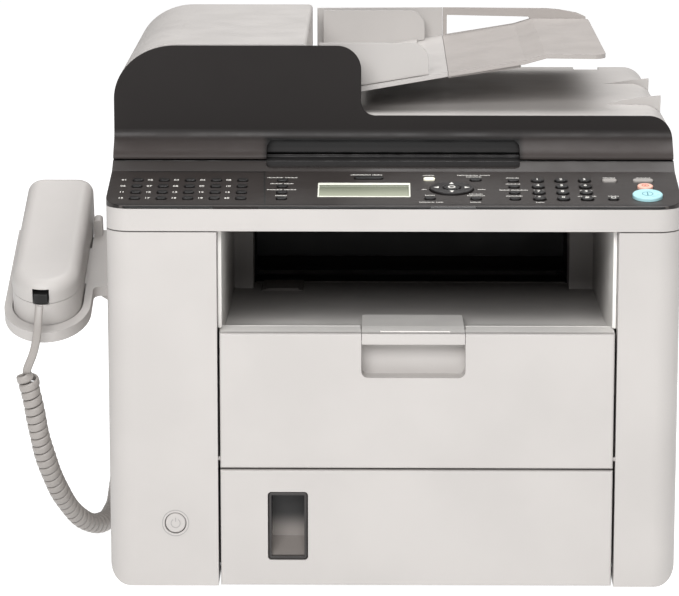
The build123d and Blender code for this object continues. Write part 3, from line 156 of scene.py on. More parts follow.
def bevelled(obj, width):
    modifier = obj.modifiers.new("edges", "BEVEL")
    modifier.width, modifier.segments, modifier.limit_method = width * MM, 3, "ANGLE"
    return obj


def finish_piece(obj, material, body):
    obj.data.materials.append(material)
    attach(obj, body)


def box_mesh(name, low, high, round_by):
    (x0, y0, z0), (x1, y1, z1) = low, high
    corners = [at(x, y, z) for x in (x0, x1) for y in (y0, y1) for z in (z0, z1)]
    faces = [(0, 1, 3, 2), (4, 6, 7, 5), (0, 4, 5, 1), (2, 3, 7, 6), (0, 2, 6, 4), (1, 5, 7, 3)]
    return bevelled(add_mesh(name, corners, faces), round_by)


# ---------------------------------------------------------------- handset cord
def spline_points(route):
    """Points of the NURBS spline that has the route as its control points."""
    curve = bpy.data.curves.new("route", "CURVE")
    curve.dimensions = "3D"
    spline = curve.splines.new("NURBS")
    spline.points.add(len(route) - 1)
    for point, place in zip(spline.points, route):
        point.co = (*at(*place), 1.0)
    spline.order_u, spline.use_endpoint_u, spline.resolution_u = 3, True, SPLINE_STEPS
    holder = bpy.data.objects.new("route", curve)
    mesh = bpy.data.meshes.new_from_object(holder)
    points = [vertex.co.copy() for vertex in mesh.vertices]
    bpy.data.objects.remove(holder)
    bpy.data.meshes.remove(mesh)
    return points


def smooth_step(t):
    t = min(1.0, max(0.0, t))
    return t * t * (3 - 2 * t)


def resample(points, step):
    """The same line at even spacing, as (point, tangent, distance along)."""
    lengths = [0.0]
    for a, b in zip(points, points[1:]):
        lengths.append(lengths[-1] + (b - a).length)
    count = max(2, round(lengths[-1] / step))
    result, i = [], 0
    for n in range(count + 1):
        s = lengths[-1] * n / count
        while i < len(points) - 2 and lengths[i + 1] < s:
            i += 1
        share = (s - lengths[i]) / max(1e-9, lengths[i + 1] - lengths[i])
        result.append((points[i].lerp(points[i + 1], share), s))
    line = []
    for n, (point, s) in enumerate(result):
        ahead, behind = result[min(n + 1, count)][0], result[max(n - 1, 0)][0]
        line.append((point, (ahead - behind).normalized(), s))
    return line


def nearest_distance(line, place):
    return min(line, key=lambda item: (item[0] - at(*place)).length)[2]


def make_cord():
    route = resample(spline_points(LEAD_ROUTE + COIL_ROUTE + TAIL_ROUTE), CORD_STEP * MM)
    start, stop = nearest_distance(route, COIL_ROUTE[0]), nearest_distance(route, COIL_ROUTE[-1])
    side = Vector((0, 1, 0))
    centre_line, widths = [], []
    for index, (point, along, s) in enumerate(route):
        side = (side - along * side.dot(along)).normalized()
        up = along.cross(side)
        ramp = min(smooth_step((s - start) / (COIL_RAMP_IN * MM)),
                   smooth_step((stop - s) / (COIL_RAMP_OUT * MM)))
        angle = 2 * math.pi * (s - start) / (COIL_PITCH * MM)
        turn = side * math.cos(angle) + up * math.sin(angle)
        # a worn look: the radius varies a little from turn to turn, and the first turns are wider
        swell = 1 + 0.035 * math.sin(s * 61.0) + 0.025 * math.sin(s * 173.0)
        swell += 0.12 * smooth_step(1 - abs(s - start - 6 * MM) / (7 * MM))
        if ramp > 0 or index % 5 == 0:
            centre_line.append(point + turn * (COIL_R * MM * ramp * swell))
            flat = Vector((1, 0, 0)) if s < stop else Vector((0, 0, 1))
            widths.append(flat.lerp(along, ramp))
    vertices, faces, sides = [], [], CORD_SIDES
    for i, (point, width) in enumerate(zip(centre_line, widths)):
        along = (centre_line[min(i + 1, len(centre_line) - 1)] - centre_line[max(i - 1, 0)]).normalized()
        width = (width - along * width.dot(along)).normalized()
        thick = along.cross(width)
        for k in range(sides):
            a = 2 * math.pi * k / sides
            u = math.copysign(abs(math.cos(a)) ** 0.7, math.cos(a)) * CORD_W / 2 * MM
            v = math.copysign(abs(math.sin(a)) ** 0.8, math.sin(a)) * CORD_T / 2 * MM
            vertices.append(point + width * u + thick * v)
        if i:
            base = (i - 1) * sides
            faces += [(base + k, base + (k + 1) % sides, base + sides + (k + 1) % sides, base + sides + k)
                      for k in range(sides)]
    faces += [tuple(range(sides))[::-1], tuple(len(vertices) - sides + k for k in range(sides))]
    cord = add_mesh("handset_cord", vertices, faces, smooth=True)
    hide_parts("cord_lead", "cord_coil")
    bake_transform(cord)
    return cord


cord = make_cord()


# ---------------------------------------------------------------- materials
class Shader:
    """A node material under construction."""

    def __init__(self, name):
        self.material = bpy.data.materials.new(name)
        self.material.use_nodes = True
        self.tree = self.material.node_tree
        self.tree.nodes.clear()
        self.where = self.add("TexCoord").outputs["Object"]

    def add(self, kind, inputs=None, **settings):
        node = self.tree.nodes.new("ShaderNode" + kind)
        for key, value in settings.items():
            setattr(node, key, value)
        for key, value in (inputs or {}).items():
            if isinstance(value, bpy.types.NodeSocket):
                self.tree.links.new(value, node.inputs[key])
            else:
                node.inputs[key].default_value = value
        return node

    def maths(self, operation, a, b=0.0):
        return self.add("Math", {0: a, 1: b}, operation=operation).outputs[0]

    def both(self, a, b):
        """The product of two masks, or of a mask and a share."""
        return self.maths("MULTIPLY", a, b)

    def noise(self, size_mm, detail=2.0, stretch=None):
        where = self.where
        if stretch:
            where = self.add("Mapping", {"Vector": where, "Scale": stretch}).outputs[0]
        settings = {"Vector": where, "Scale": 1000.0 / size_mm, "Detail": detail}
        return self.add("TexNoise", settings).outputs["Fac"]

    def ramp(self, value, low, high, to_low=0.0, to_high=1.0):
        """Smooth step of the value from low to high, as a number from to_low to to_high."""
        node = self.add("MapRange", {"Value": value, 1: low, 2: high, 3: to_low, 4: to_high})
        node.interpolation_type = "SMOOTHSTEP"
        return node.outputs[0]

    def mix(self, factor, a, b):
        node = self.add("Mix", data_type="RGBA")
        for socket, value in ((node.inputs[0], factor), (node.inputs[6], a), (node.inputs[7], b)):
            if isinstance(value, bpy.types.NodeSocket):
                self.tree.links.new(value, socket)
            else:
                socket.default_value = value
        return node.outputs[2]

    def place(self, axis):
        """Body coordinate of the shaded point, in millimetres."""
        value = self.add("SeparateXYZ", {0: self.where}).outputs["XYZ".index(axis)]
        offset = {"X": ORIGIN.x, "Y": ORIGIN.y, "Z": ORIGIN.z}[axis]
        return self.maths("MULTIPLY", self.maths("SUBTRACT", value, offset), 1000.0)

    def between(self, axis, low, high, soft=0.3):
        """1 inside the slab low..high, 0 outside."""
        value = self.place(axis)
        return self.both(self.ramp(value, low - soft, low + soft),
                         self.ramp(value, high - soft, high + soft, 1.0, 0.0))


def linear(c):
    """Linear value of one 0-255 display value."""
    return c / 255 / 12.92 if c < 11 else ((c / 255 + 0.055) / 1.055) ** 2.4


def rgb(r, g, b):
    """Linear colour from 0-255 display values."""
    return (linear(r), linear(g), linear(b), 1.0)


def scaled(colour, k):
    return tuple(min(1.0, c * k) for c in colour[:3]) + (1.0,)


def plastic(name, colour, roughness=0.42, grain_mm=0.55, grain=0.10, edge=0.6, wear_and_sheen=0.10, mottle=0.03,
            specular=0.45, coat=0.0, transmission=0.0, alter=None, metallic=0.0, brushed=None):
    """Moulded surface: faint colour drift, fine texture, rounded edges that catch light, and edges painted
    paler, partly as wear and partly as a painted highlight.
    """
    shader = Shader(name)
    drift = shader.noise(70.0, 3.0)
    fine = shader.noise(grain_mm, 2.0, brushed)
    base = shader.mix(shader.ramp(drift, 0.3, 0.7), scaled(colour, 1 - mottle), scaled(colour, 1 + mottle))
    base = shader.mix(shader.ramp(fine, 0.35, 0.65, 0.0, 0.16), base, scaled(colour, 0.86))
    if alter:
        base = alter(shader, base)
    bevel = shader.add("Bevel", {"Radius": edge * MM}, samples=4)
    flat = shader.add("NewGeometry").outputs["Normal"]
    bend = shader.add("VectorMath", {0: bevel.outputs[0], 1: flat}, operation="DOT_PRODUCT").outputs["Value"]
    # edges painted paler: partly wear, partly a painted highlight
    worn_and_highlit_edge = shader.both(shader.ramp(bend, 0.995, 0.85), shader.ramp(shader.noise(9.0), 0.35, 0.7))
    pale = tuple(c + (1 - c) * 0.35 for c in colour[:3]) + (1.0,)
    base = shader.mix(shader.both(worn_and_highlit_edge, wear_and_sheen), base, pale)
    rough = shader.ramp(shader.noise(24.0, 4.0), 0.3, 0.7, roughness - 0.05, roughness + 0.06)
    bump = shader.add("Bump", {"Height": fine, "Strength": grain, "Distance": 0.12 * MM,
                               "Normal": bevel.outputs[0]})
    surface = shader.add("BsdfPrincipled", {"Base Color": base, "Roughness": rough, "Normal": bump.outputs[0],
                                            "Specular IOR Level": specular, "Metallic": metallic,
                                            "Coat Weight": coat, "Coat Roughness": 0.12,
                                            "Transmission Weight": transmission})
    shader.tree.links.new(surface.outputs[0], shader.add("OutputMaterial").inputs[0])
    return shader.material


WHITE = rgb(182, 178, 175)
CHARCOAL = rgb(27, 23, 22)
DARK = rgb(26, 24, 24)
BLACK = rgb(10, 9, 9)
PALE = rgb(246, 243, 239)
BAY_SHADE = rgb(128, 122, 119)
INK = rgb(222, 220, 214)


def bay_wall_painted_shade(shader, base):
    """Inner faces of the side columns, behind the front edge of the output bay, are painted grey as shade."""
    inner = shader.both(shader.between("X", *BAY_X), shader.between("Z", *BAY_Z))
    back = shader.ramp(shader.place("Y"), 6.0, 60.0)
    return shader.mix(shader.both(inner, back), base, BAY_SHADE)


def tray_painted_light_and_shade(shader, base):
    """The tray's throat behind the delivery rollers is dark; the slope before it is painted paler at the
    front as light, and grey towards the rear as painted shade.
    """
    y = shader.place("Y")
    base = shader.mix(shader.ramp(y, 150.0, 20.0), base, PALE)
    base = shader.mix(shader.ramp(y, 150.0, 245.0, 0.0, 0.4), base, BAY_SHADE)
    return shader.mix(shader.ramp(y, 251.0, 256.0), base, DARK)


def toner_cover_painted_shade(shader, base):
    """The cover is painted grey as shade up to about Y 251, a little paler than the bay's shade, and dark
    behind that.
    """
    y = shader.place("Y")
    return shader.mix(shader.ramp(y, 250.5, 252.5), scaled(BAY_SHADE, 1.1), DARK)


def panel_painted_light_and_shade(shader, base):
    """The key panel is painted paler than the lid's fascia, as light on its upward face, with a front edge
    painted black as shade under a fine painted highlight line.
    """
    y = shader.place("Y")
    base = shader.mix(shader.ramp(y, 4.0, 6.0), base, rgb(44, 39, 37))
    base = shader.mix(shader.between("Y", 1.0, 2.0, 0.2), base, rgb(74, 69, 67))
    return shader.mix(shader.ramp(y, 1.0, 0.8), base, BLACK)


def cover_top_painted_highlight(shader, base):
    """The front cover's upper edge and the grip's tongue are painted paler than its face, as a painted
    highlight on the top.
    """
    top = shader.both(shader.ramp(shader.place("Z"), 168.0, 169.0), shader.ramp(shader.place("Y"), 2.0, 8.0))
    return shader.mix(top, base, PALE)


def fascia_painted_light_and_shade(shader, base):
    """The fascia's flared foot is painted a little paler on both sides of the finger recess, as light on its
    upward flare, and painted black as shade in the recess.
    """
    z = shader.place("Z")
    sides = shader.maths("SUBTRACT", 1.0, shader.between("X", -90.0, 90.0, 2.0))
    low = shader.both(sides, shader.ramp(z, 300.0, 286.0))
    base = shader.mix(low, base, rgb(58, 52, 50))
    recess = shader.both(shader.between("X", -88.0, 88.0), shader.ramp(z, *LID_FOOT[::-1]))
    return shader.mix(recess, base, BLACK)


def recess_shade_zone(shader):
    """1 in the finger recess across the front, between the key panel and the lid, where painted shade goes.
    """
    return shader.both(shader.between("X", *GRIP_X), shader.between("Y", *GRIP_Y))


def scanner_painted_shade(shader, base):
    """Only the band round the scanner housing keeps its white; its underside and the finger recess are
    painted dark as shade.
    """
    y, z = shader.place("Y"), shader.place("Z")
    base = shader.mix(shader.both(recess_shade_zone(shader), shader.ramp(z, *SCANNER_FOOT)), base, CHARCOAL)
    inside = shader.both(shader.between("X", -186.0, 186.0), shader.ramp(y, 9.0, 11.0))
    low = shader.ramp(z, *SCANNER_FOOT, 1.0, 0.0)
    base = shader.mix(shader.both(inside, low), base, DARK)
    front = shader.both(shader.ramp(y, 104.0, 102.0), shader.ramp(z, 276.0, 277.0))
    return shader.mix(front, base, DARK)


def lid_painted_shade(shader, base):
    """The lid's front wall is painted dark as shade behind the finger recess, and painted shade is laid on
    the document exit.
    """
    x, y, z = (shader.place(axis) for axis in "XYZ")
    base = shader.mix(shader.both(recess_shade_zone(shader), shader.ramp(z, *LID_FOOT, 1.0, 0.0)), base, BLACK)
    rim = shader.both(shader.ramp(y, 99.0, 97.0), shader.ramp(z, 287.0, 285.5))
    base = shader.mix(rim, base, DARK)
    exit_shade = shader.both(shader.ramp(x, -30.0, 45.0, 0.8, 0.0), shader.ramp(y, 103.0, 118.0))
    top = shader.both(shader.between("Z", 300.0, 314.0), shader.ramp(x, -62.0, -60.0))
    return shader.mix(shader.both(exit_shade, top), base, rgb(70, 65, 62))


def pad_edge_painted_shade(shader, base):
    """The pad's front edge is painted black as shade, like the recess before it."""
    return shader.mix(shader.ramp(shader.place("Y"), 104.0, 103.0), base, BLACK)


def window_painted_shade(shader, base):
    """The frame is dark grey, and its inside is painted as shade, dark at the top and paler at its foot."""
    inside = shader.ramp(shader.place("Y"), 1.6, 4.0)
    slope = shader.ramp(shader.place("Z"), 28.0, 44.0, 1.0, 0.0)
    deep = shader.mix(slope, DARK, rgb(128, 122, 118))
    return shader.mix(inside, rgb(46, 43, 42), deep)


def key_colours(shader, base):
    """The oval lit key is cream and the two keys at the top right are grey; the other small keys are dark."""
    x, y = shader.place("X"), shader.place("Y")
    squares = [shader.maths("POWER", shader.maths("SUBTRACT", value, centre), 2.0)
               for value, centre in zip((x, y), LIT_KEY)]
    far = shader.maths("ADD", *squares)  # squared distance from the lit key's centre
    base = shader.mix(shader.ramp(far, 80.0, 90.0, 1.0, 0.0), base, rgb(250, 247, 226))
    grey = shader.both(shader.ramp(x, 139.0, 140.0), shader.ramp(y, 43.0, 44.0))
    return shader.mix(grey, base, rgb(150, 146, 142))


def display_glow(shader, base):
    """The display is paler towards its foot, with faint upright stripes 0.7 mm apart."""
    y = shader.place("Y")
    tone = shader.mix(shader.ramp(y, 20.0, 43.0), rgb(172, 176, 156), rgb(112, 117, 100))
    wave = shader.maths("SINE", shader.maths("MULTIPLY", shader.place("X"), 9.0))
    row = shader.ramp(wave, 0.9, 1.0, 0.0, 0.12)
    return shader.mix(row, tone, rgb(90, 95, 80))


def make_materials():
    white = dict(roughness=0.46, grain_mm=0.5, grain=0.10, wear_and_sheen=0.25)
    charcoal = dict(roughness=0.42, grain_mm=0.45, grain=0.14, wear_and_sheen=0.0)
    pad = dict(colour=rgb(240, 240, 238), roughness=0.6, grain_mm=1.6, grain=0.2)
    key = dict(roughness=0.34, grain=0.05, edge=0.35, wear_and_sheen=0.25)
    slots = {
        "white_plastic": plastic("white_plastic", WHITE, **white),
        "pale_grey_plastic": plastic("pale_grey_plastic", rgb(204, 201, 196), grain=0.12),
        "charcoal_plastic": plastic("charcoal_plastic", CHARCOAL, specular=0.22, **charcoal),
        "black_plastic": plastic("black_plastic", rgb(38, 38, 39), roughness=0.5, grain=0.14, wear_and_sheen=0.2),
        "gear_plastic": plastic("gear_plastic", rgb(226, 224, 214), roughness=0.36, grain=0.05),
        "smoke_plastic": plastic("smoke_plastic", rgb(166, 160, 156), roughness=0.44, grain_mm=0.5,
                                 grain=0.04, edge=0.3, mottle=0.02, wear_and_sheen=0.0),
        "steel_sheet": plastic("steel_sheet", rgb(176, 178, 180), roughness=0.38, grain_mm=1.4, grain=0.10,
                               metallic=0.9, brushed=(1.0, 0.08, 1.0), mottle=0.08),
        "steel_shaft": plastic("steel_shaft", rgb(166, 167, 169), roughness=0.27, grain_mm=0.5, grain=0.05,
                               metallic=1.0, brushed=(0.05, 1.0, 1.0), wear_and_sheen=0.0),
        "rubber": plastic("rubber", rgb(36, 36, 37), roughness=0.85, grain_mm=0.9, grain=0.12, specular=0.12,
                          wear_and_sheen=0.0),
        "drum_coating": plastic("drum_coating", rgb(76, 148, 136), roughness=0.16, grain=0.02, metallic=0.6,
                                coat=0.5),
        "circuit_board": plastic("circuit_board", rgb(34, 104, 64), roughness=0.4, grain_mm=2.6, grain=0.3,
                                 mottle=0.15),
        "clear_plug": plastic("clear_plug", rgb(206, 204, 198), roughness=0.14, grain=0.02,
                              transmission=0.55),
        "cord_vinyl": plastic("cord_vinyl", rgb(150, 145, 141), roughness=0.4, grain_mm=0.8, grain=0.10,
                              edge=0.2, mottle=0.05, wear_and_sheen=0.0),
        "display": plastic("display", rgb(150, 154, 134), roughness=0.2, grain=0.0, coat=0.7, edge=0.2,
                           alter=display_glow),
        "dark_keys": plastic("dark_keys", rgb(18, 16, 16), roughness=0.36, grain=0.06, edge=0.35, wear_and_sheen=0.3),
        "grey_keys": plastic("grey_keys", rgb(19, 17, 17), alter=key_colours, **key),
        "red_key": plastic("red_key", rgb(240, 184, 166), roughness=0.32, grain=0.04, edge=0.4),
        "blue_key": plastic("blue_key", rgb(176, 222, 228), roughness=0.30, grain=0.04, edge=0.4, coat=0.2),
        "pad_white": plastic("pad_white", **pad),
    }
    glass = Shader("platen_glass")
    smear = glass.ramp(glass.noise(30.0, 4.0), 0.35, 0.75, 0.02, 0.06)
    tint = glass.mix(glass.ramp(glass.noise(60.0), 0.3, 0.7), (0.80, 0.88, 0.86, 1), (0.86, 0.92, 0.90, 1))
    surface = glass.add("BsdfPrincipled", {"Base Color": tint, "Roughness": smear, "IOR": 1.5,
                                           "Transmission Weight": 0.85})
    glass.tree.links.new(surface.outputs[0], glass.add("OutputMaterial").inputs[0])
    slots["platen_glass"] = glass.material
    own = {
        "left_cover": plastic("cover_left", WHITE, alter=bay_wall_painted_shade, **white),
        "right_cover": plastic("cover_right", WHITE, alter=bay_wall_painted_shade, **white),
        "output_tray": plastic("tray", WHITE, alter=tray_painted_light_and_shade, **white),
        "toner_cover": plastic("toner_lid", WHITE, alter=toner_cover_painted_shade, **white),
        "scanner_base": plastic("scanner_shell", WHITE, alter=scanner_painted_shade, **white),
        "window_bezel": plastic("window_frame", rgb(46, 43, 42), alter=window_painted_shade, grain=0.08),
        "fuser_roller": plastic("coated_roller", rgb(34, 32, 32), roughness=0.6, grain=0.04, specular=0.12,
                                wear_and_sheen=0.0),
        # the bay's side plates are painted in the grey of the bay's shade
        "side_plates": plastic("bay_plates_painted_shade", rgb(126, 120, 116), roughness=0.55, grain=0.14),
        "lid_base": plastic("lid_shell", WHITE, alter=lid_painted_shade, **white),
        "lid_fascia": plastic("lid_fascia", CHARCOAL, alter=fascia_painted_light_and_shade, specular=0.22, **charcoal),
        "control_panel": plastic("control_panel", CHARCOAL, alter=panel_painted_light_and_shade, specular=0.3, **charcoal),
        "platen_pad": plastic("document_pad", alter=pad_edge_painted_shade, **pad),
        "front_cover_handle": plastic("grip_plate", WHITE, alter=cover_top_painted_highlight, **white),
        "front_cover": plastic("front_shell", WHITE, alter=cover_top_painted_highlight, **white),
        "handset_plug": plastic("jack_recess", rgb(24, 23, 23), roughness=0.4, grain=0.05),
        "nav_ring": plastic("nav_ring", rgb(28, 25, 25), **key),
    }
    return slots, own


slots, own = make_materials()
for item in frame["record"]["subparts"]:
    node = frame["nodes"][item["node"]]
    finish = own.get(item["node"], slots[item["material_slot"]])
    if not node.data.materials:
        node.data.materials.append(finish)
    for index in range(len(node.material_slots)):
        node.material_slots[index].material = finish
cord.data.materials.append(slots["cord_vinyl"])

printed = dict(roughness=0.5, grain=0.05, edge=0.05, wear_and_sheen=0.0)
ink = plastic("print_white", INK, roughness=0.55, grain=0.05, edge=0.05, wear_and_sheen=0.0)
ink_dark = plastic("print_dark", rgb(5, 5, 5), **printed)
ink_grey = plastic("print_grey", rgb(150, 148, 146), **printed)
ink_blue = plastic("print_blue", rgb(70, 130, 140), **printed)
gloss_black = plastic("lamp_window", rgb(14, 13, 14), roughness=0.12, grain=0.01, edge=0.3, coat=0.6,
                      wear_and_sheen=0.05)
screw_steel = plastic("screw_steel", rgb(168, 168, 168), roughness=0.3, grain_mm=0.3, metallic=1.0, wear_and_sheen=0.2)


# ---------------------------------------------------------------- printing
INK_T = 0.09  # thickness of a printed mark
INK_SINK = 0.01  # how far a mark's underside sits in the surface
REACH = 20  # a mark is cast onto a surface up to this far from its plane
WORD_SHARES = (3, 5, 4, 2, 6, 3)  # relative lengths of the words of a label
WORD_GAP = 0.9
STROKE_PITCH = 0.95  # about, as each word takes a whole number of strokes


def extruded(outline):
    """Vertices (x, y, 0 or 1) and faces of a flat closed outline given one unit of thickness."""
    n = len(outline)
    vertices = [(x, y, h) for h in (0, 1) for x, y in outline]
    sides = [(i, (i + 1) % n, n + (i + 1) % n, n + i) for i in range(n)]
    return vertices, sides + [tuple(range(n))[::-1], tuple(range(n, 2 * n))]


def bar(x, y, width, height, lean=0.0):
    """Rounded bar centred on x, y."""
    w, h, c = width / 2, height / 2, min(width, height) * 0.28
    points = [(-w + c, -h), (w - c, -h), (w, -h + c), (w, h - c),
              (w - c, h), (-w + c, h), (-w, h - c), (-w, -h + c)]
    turn = Matrix.Rotation(lean, 2)
    return extruded([tuple(Vector((x, y)) + turn @ Vector(p)) for p in points])


def words(x, y, width, count, height=1.5):
    """A generic line of print, centred on x, y: runs of narrow strokes that say nothing, with word gaps."""
    shares = [WORD_SHARES[(k + int(abs(x + y))) % len(WORD_SHARES)] for k in range(count)]
    unit = (width - WORD_GAP * (count - 1)) / sum(shares)
    shapes, left = [], x - width / 2
    for share in shares:
        strokes = max(2, round(share * unit / STROKE_PITCH))
        pitch = share * unit / strokes
        for k in range(strokes):
            tall = height * (1.0 if (k * 7 + share) % 3 == 0 else 0.72)
            shapes.append(bar(left + (k + 0.5) * pitch, y - (height - tall) / 2, pitch * 0.66, tall))
        left += share * unit + WORD_GAP
    return shapes


def arrow(x, y, size, turn):
    """Filled triangle that points along +X before it is turned."""
    points = [(-0.55, -0.5), (0.65, 0.0), (-0.55, 0.5)]
    spin = Matrix.Rotation(turn, 2)
    return extruded([tuple(Vector((x, y)) + spin @ (Vector(p) * size)) for p in points])


def ring(x, y, radius, width, gap_angle=0.0, steps=28):
    """Circle outline, open at the top by gap_angle."""
    first, last = math.pi / 2 + gap_angle / 2, math.pi * 2.5 - gap_angle / 2
    vertices, faces = [], []
    for i in range(steps + 1):
        a = first + (last - first) * i / steps
        for r in (radius - width / 2, radius + width / 2):
            vertices += [(x + r * math.cos(a), y + r * math.sin(a), h) for h in (0, 1)]
        if i:
            b = 4 * i
            faces += [(b - 4, b - 2, b + 2, b), (b - 3, b + 1, b + 3, b - 1), (b - 4, b, b + 1, b - 3),
                      (b - 2, b - 1, b + 3, b + 2)]
    faces += [(0, 1, 3, 2), tuple(4 * steps + k for k in (0, 2, 3, 1))]
    return vertices, faces


def text(string, x, y, size):
    """Numerals as a flat mesh, centred on x, y."""
    curve = bpy.data.curves.new("numerals", "FONT")
    curve.body, curve.size, curve.extrude, curve.resolution_u = string, size, 0.5, 3
    curve.align_x, curve.align_y = "CENTER", "CENTER"
    curve.offset = size * 0.012
    holder = bpy.data.objects.new("numerals", curve)
    mesh = bpy.data.meshes.new_from_object(holder)
    vertices = [(x + v.co.x, y + v.co.y, v.co.z + 0.5) for v in mesh.vertices]
    faces = [tuple(p.vertices) for p in mesh.polygons]
    bpy.data.objects.remove(holder)
    bpy.data.meshes.remove(mesh)
    bpy.data.curves.remove(curve)
    return vertices, faces


def surface_tree(*nodes):
    vertices, faces = [], []
    for name in nodes:
        mesh = frame["nodes"][name].data
        base = len(vertices)
        vertices += [v.co for v in mesh.vertices]
        faces += [[base + i for i in p.vertices] for p in mesh.polygons]
    return BVHTree.FromPolygons(vertices, faces)


def print_on(name, nodes, body, material, shapes, origin, right, up):
    """Lays flat shapes, in millimetres from origin along right and up, onto the nodes' surface.

    A shape that reaches past the surface is left out.
    """
    right, up = Vector(right).normalized(), Vector(up).normalized()
    normal = right.cross(up)
    tree = surface_tree(*nodes)
    vertices, faces = [], []
    for points, polygons in shapes:
        base, placed = len(vertices), []
        for x, y, h in points:
            flat = origin + (right * x + up * y) * MM
            hit = tree.ray_cast(flat + normal * REACH * MM, -normal, 2 * REACH * MM)[0]
            placed.append((hit, h))
        if any(hit is None for hit, _ in placed):
            continue
        vertices += [hit + normal * (h * INK_T - INK_SINK) * MM for hit, h in placed]
        faces += [tuple(base + i for i in polygon) for polygon in polygons]
    finish_piece(add_mesh(name, vertices, faces), material, body)


def print_on_field(name, nodes, body, material, shapes):
    """Shapes are in millimetres from the key field's front edge at X 0, y measured level."""
    level = [([(x, (y - FIELD_FOOT[0]) / math.cos(FIELD_TILT), h) for x, y, h in v], f) for v, f in shapes]
    up = (0, math.cos(FIELD_TILT), math.sin(FIELD_TILT))
    print_on(name, nodes, body, material, level, on_field(0, FIELD_FOOT[0]), (1, 0, 0), up)


def print_panel():
    numbers = [text(f"{row * 5 + column + 1:02d}", x - 9.6, y + 1.0, 3.7)
               for row, y in enumerate(ONE_TOUCH_Y) for column, x in enumerate(ONE_TOUCH_X)]
    labels = []
    for y, width, count in ((57.2, 20.8, 2), (45.0, 16.1, 2), (32.9, 20.2, 2), (21.2, 8.1, 1)):
        labels += words(-76.4, y, width, count)
    for y, width, count in ((57.2, 9.0, 1), (45.0, 10.1, 1), (32.9, 19.5, 2), (21.2, 11.4, 1)):
        labels += words(82.0, y, width, count)
    labels += words(-18.5, 63.0, 22.0, 2, 1.8)
    for x, y, width, count in ((24.3, 62.2, 8.1, 1), (55.5, 62.5, 22.8, 2), (55.5, 59.2, 10.8, 1),
                               (21.0, 34.0, 3.4, 1), (60.2, 34.0, 5.4, 1), (24.8, 22.3, 6.7, 1),
                               (25.5, 8.8, 16.5, 2), (56.0, 24.8, 9.4, 1), (56.0, 21.6, 12.1, 1),
                               (55.5, 8.8, 7.4, 1), (148.5, 57.8, 8.7, 1), (172.0, 57.6, 10.1, 1),
                               (149.2, 21.4, 7.4, 1)):
        labels += words(x, y, width, count, 1.3)
    for x, widths in zip(DIAL_X, ((0, 5.4, 6.7, 6.0), (5.4, 4.0, 5.4, 4.0), (5.4, 6.7, 8.7, 12.8))):
        for y, width in zip(DIAL_LABEL_Y, widths):
            if width:
                labels += words(x, y, width, 1, 1.2)
    labels += words(DIAL_X[0], 8.8, 6.0, 1, 1.2)
    print_on_field("panel_numbers", ["control_panel"], "scanner", ink, numbers)
    print_on_field("panel_labels", ["control_panel"], "scanner", ink, labels)
    seams = [bar(-88.0, 36.5, 1.1, 66.0, 0.035), bar(-136.0, 68.6, 96.0, 1.1)]
    print_on_field("one_touch_seam", ["control_panel"], "scanner", ink_dark, seams)
    digits = [text(mark, x - 0.2, y + 0.1, 4.6) for y, marks in zip(DIAL_Y, ("123", "456", "789", "*0#"))
              for x, mark in zip(DIAL_X, marks)]
    print_on_field("dial_digits", ["dial_keys"], "dial_keys", ink, digits)
    arrows = [arrow(NAV[0] - 10.5, NAV[1], 3.0, math.pi), arrow(NAV[0] + 10.5, NAV[1], 3.0, 0.0),
              arrow(NAV[0], NAV[1] + 8.2, 3.0, math.pi / 2), arrow(NAV[0], NAV[1] - 8.2, 3.0, -math.pi / 2)]
    print_on_field("nav_arrows", ["nav_ring"], "nav_ring", ink, arrows)
    print_on_field("ok_mark", ["ok_key"], "ok_key", ink, [ring(NAV[0], NAV[1], 2.1, 0.8)])
    print_on_field("start_mark", ["start_key"], "start_key", ink_blue,
                   [bar(*START_KEY, 0.8, 6.0), ring(*START_KEY, 3.6, 0.5)])
    print_on_field("stop_mark", ["stop_key"], "stop_key",
                   plastic("print_red", rgb(176, 96, 80), grain=0.03, edge=0.05, wear_and_sheen=0.0),
                   [ring(*STOP_KEY, 2.2, 0.6), arrow(*STOP_KEY, 1.8, math.pi / 2)])
    print_on_field("clear_mark", ["small_keys"], "small_keys", ink, [ring(*CLEAR_KEY, 1.4, 0.5)])


def print_front():
    symbol = [ring(-149.0, 40.3, 3.1, 0.55, gap_angle=1.2), bar(-149.0, 42.8, 0.6, 2.9)]
    print_on("power_symbol", ["power_button"], "power_button", ink_grey, symbol, at(0, 0, 0),
             (1, 0, 0), (0, 0, 1))
    rim = [ring(-149.0, 40.5, 9.1, 0.5)]
    print_on("power_rim", ["left_cover"], "chassis", ink_grey, rim, at(0, 0, 0),
             (1, 0, 0), (0, 0, 1))


print_panel()
print_front()


# ---------------------------------------------------------------- small fittings
SCREW_R = 3.4
SCREW_SIDES = 24


def add_display_frame():
    """Pale frame round the display, wider along the top."""
    (x0, x1), (y0, y1) = DISPLAY_X, DISPLAY_Y
    outer = [(x0 - 0.6, y0 - 0.8), (x1 + 0.6, y0 - 0.8), (x1 + 0.6, y1 + 0.8), (x0 - 0.6, y1 + 0.8)]
    inner = [(x0 + 0.5, y0 + 0.5), (x1 - 0.5, y0 + 0.5), (x1 - 0.5, y1 - 2.6), (x0 + 0.5, y1 - 2.6)]
    vertices = [on_field(x, y, lift) for lift in (-0.45, 0.35) for loop in (outer, inner) for x, y in loop]
    faces = []
    for k in range(4):
        j = (k + 1) % 4
        faces += [(8 + k, 8 + j, 12 + j, 12 + k), (k, 4 + k, 4 + j, j), (k, j, 8 + j, 8 + k),
                  (4 + k, 12 + k, 12 + j, 4 + j)]
    obj = bevelled(add_mesh("display_frame", vertices, faces), 0.3)
    finish_piece(obj, plastic("display_frame", rgb(226, 227, 214), roughness=0.3, grain=0.03, edge=0.2),
                 "scanner")


